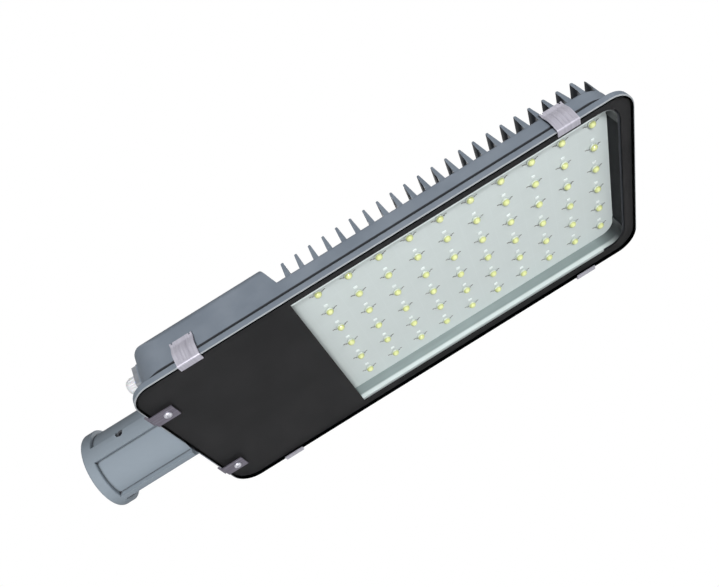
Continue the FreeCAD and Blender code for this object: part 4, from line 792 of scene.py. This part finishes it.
bmesh.ops.recalc_face_normals(open_nut, faces=open_nut.faces)
open_nut.to_mesh(nut_mesh)
open_nut.free()
nut_mesh.transform(Matrix.Translation(GLAND_PLACE) @ Matrix.Rotation(math.radians(-90), 4, "Y"))
smooth(nut_mesh, crease_degrees=30)
nut = new_piece("gland_dome_nut", nut_mesh, nylon)
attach(nut, "root")
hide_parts("gland_nut")


# Driver bay. The potted driver in its plain aluminium case and the three-pole terminal block sit
# behind the printed border; both are screwed to the casting.
CASE_TONES = ((0.48, 0.50, 0.52, 1), (0.60, 0.62, 0.64, 1))
BLOCK_TONES = ((0.66, 0.66, 0.60, 1), (0.76, 0.76, 0.70, 1))

case_finish, tree, shader, place = new_finish("plain aluminium case", {"Metallic": 0.8})
drawn = cloudy(tree, place, spot_mm=1.5, stretch=(0.03, 1, 1))
tree.links.new(between(tree, drawn, *CASE_TONES), shader.inputs["Base Color"])
tree.links.new(spread(tree, drawn, 0.32, 0.48), shader.inputs["Roughness"])
coat(["driver"], case_finish)
block_finish = speckled("off-white nylon block", {"Specular IOR Level": 0.4}, BLOCK_TONES, spot_mm=7,
                        sheen_mm=2, roughness=(0.45, 0.6))
coat(["terminal_block"], block_finish)


# Studio. A pale floor far under the hanging lamp and low light all round. One lamp stands on the
# camera's side, a large one over the fins and a weak one before the tip. Seen or mirrored, the room
# is plain white and the floor glows a little, so that it stays pale.
FLOOR_LEVEL, FLOOR_REACH = -1.6, 9.0
FLOOR_TONES = ((0.78, 0.78, 0.78, 1), (0.82, 0.82, 0.82, 1))
FLOOR_GLOW = 0.56
ROOM_LIGHT = 0.10
WHITE = (1, 1, 1, 1)
LAMPS = (  # name, place, target, size across, watts
    ("key lamp", (0.34, -1.75, -1.35), (0.3, 0.0, 0.0), 0.55, 48),
    ("top lamp", (0.7, 1.5, 1.6), (0.3, 0.0, 0.0), 1.4, 58),
    ("tip lamp", (1.90, -0.75, -0.45), (0.55, 0.0, 0.0), 0.7, 5))


def seen_or_mirrored(tree):
    """One where the camera, a mirror or a clear body looks at the surface, nil where light falls."""
    ray = shader_node(tree, "LightPath").outputs
    seen = figure(tree, "MAXIMUM", ray["Is Camera Ray"], ray["Is Glossy Ray"])
    return figure(tree, "MAXIMUM", seen, ray["Is Transmission Ray"])


def studio_lamp(name, place, target, size, watts):
    """A round soft lamp at a place, turned to its target."""
    light = bpy.data.lights.new(name, "AREA")
    light.shape = "DISK"
    light.size = size
    light.energy = watts
    lamp = bpy.data.objects.new(name, light)
    lamp.location = place
    aim = Vector(target) - Vector(place)
    lamp.rotation_euler = aim.to_track_quat("-Z", "Y").to_euler()
    bpy.context.scene.collection.objects.link(lamp)


floor_mesh = bpy.data.meshes.new("studio_floor")
floor_corners = [(x * FLOOR_REACH, y * FLOOR_REACH, FLOOR_LEVEL)
                 for x, y in ((-1, -1), (1, -1), (1, 1), (-1, 1))]
floor_mesh.from_pydata(floor_corners, [], [(0, 1, 2, 3)])
floor_paint, tree, shader, place = new_finish("pale floor", {"Roughness": 0.9})
links = tree.links
links.new(between(tree, cloudy(tree, place, spot_mm=900), *FLOOR_TONES), shader.inputs["Base Color"])
glow = shader_node(tree, "Emission", [("Color", WHITE)])
links.new(spread(tree, seen_or_mirrored(tree), 0.0, FLOOR_GLOW), glow.inputs["Strength"])
lit = shader_node(tree, "AddShader")
links.new(shader.outputs[0], lit.inputs[0])
links.new(glow.outputs[0], lit.inputs[1])
links.new(lit.outputs[0], tree.nodes["Material Output"].inputs["Surface"])
floor = new_piece("studio_floor", floor_mesh, floor_paint)

room = bpy.data.worlds.new("white room")
bpy.context.scene.world = room
room.use_nodes = True
tree = room.node_tree
tree.nodes.clear()
links = tree.links
backdrop = shader_node(tree, "Background", [("Color", WHITE), ("Strength", 1.0)])
ambient = shader_node(tree, "Background", [("Color", WHITE), ("Strength", ROOM_LIGHT)])
blend = shader_node(tree, "MixShader")
links.new(seen_or_mirrored(tree), blend.inputs["Fac"])
links.new(ambient.outputs[0], blend.inputs[1])
links.new(backdrop.outputs[0], blend.inputs[2])
links.new(blend.outputs[0], shader_node(tree, "OutputWorld").inputs["Surface"])
for lamp in LAMPS:
    studio_lamp(*lamp)


# Camera. Below the lamp on the clip side, looking up along the pane.
CAMERA_PLACE = (0.3031, -0.5367, -0.4079)
CAMERA_TURN = (133.2297, 24.3109, 21.2191)
LENS_MM, SENSOR_MM = 34.047, 36.0
SHIFT_X, SHIFT_Y = 0.00333, 0.0020
NEAREST = 0.02

camera_data = bpy.data.cameras.new("camera")
camera_data.lens = LENS_MM
camera_data.sensor_width = SENSOR_MM
camera_data.shift_x = SHIFT_X
camera_data.shift_y = SHIFT_Y
camera_data.clip_start = NEAREST
camera = bpy.data.objects.new("camera", camera_data)
camera.location = CAMERA_PLACE
camera.rotation_euler = Euler([math.radians(angle) for angle in CAMERA_TURN], "XYZ")
bpy.context.scene.collection.objects.link(camera)
bpy.context.scene.camera = camera
bpy.context.scene.view_settings.view_transform = "Standard"
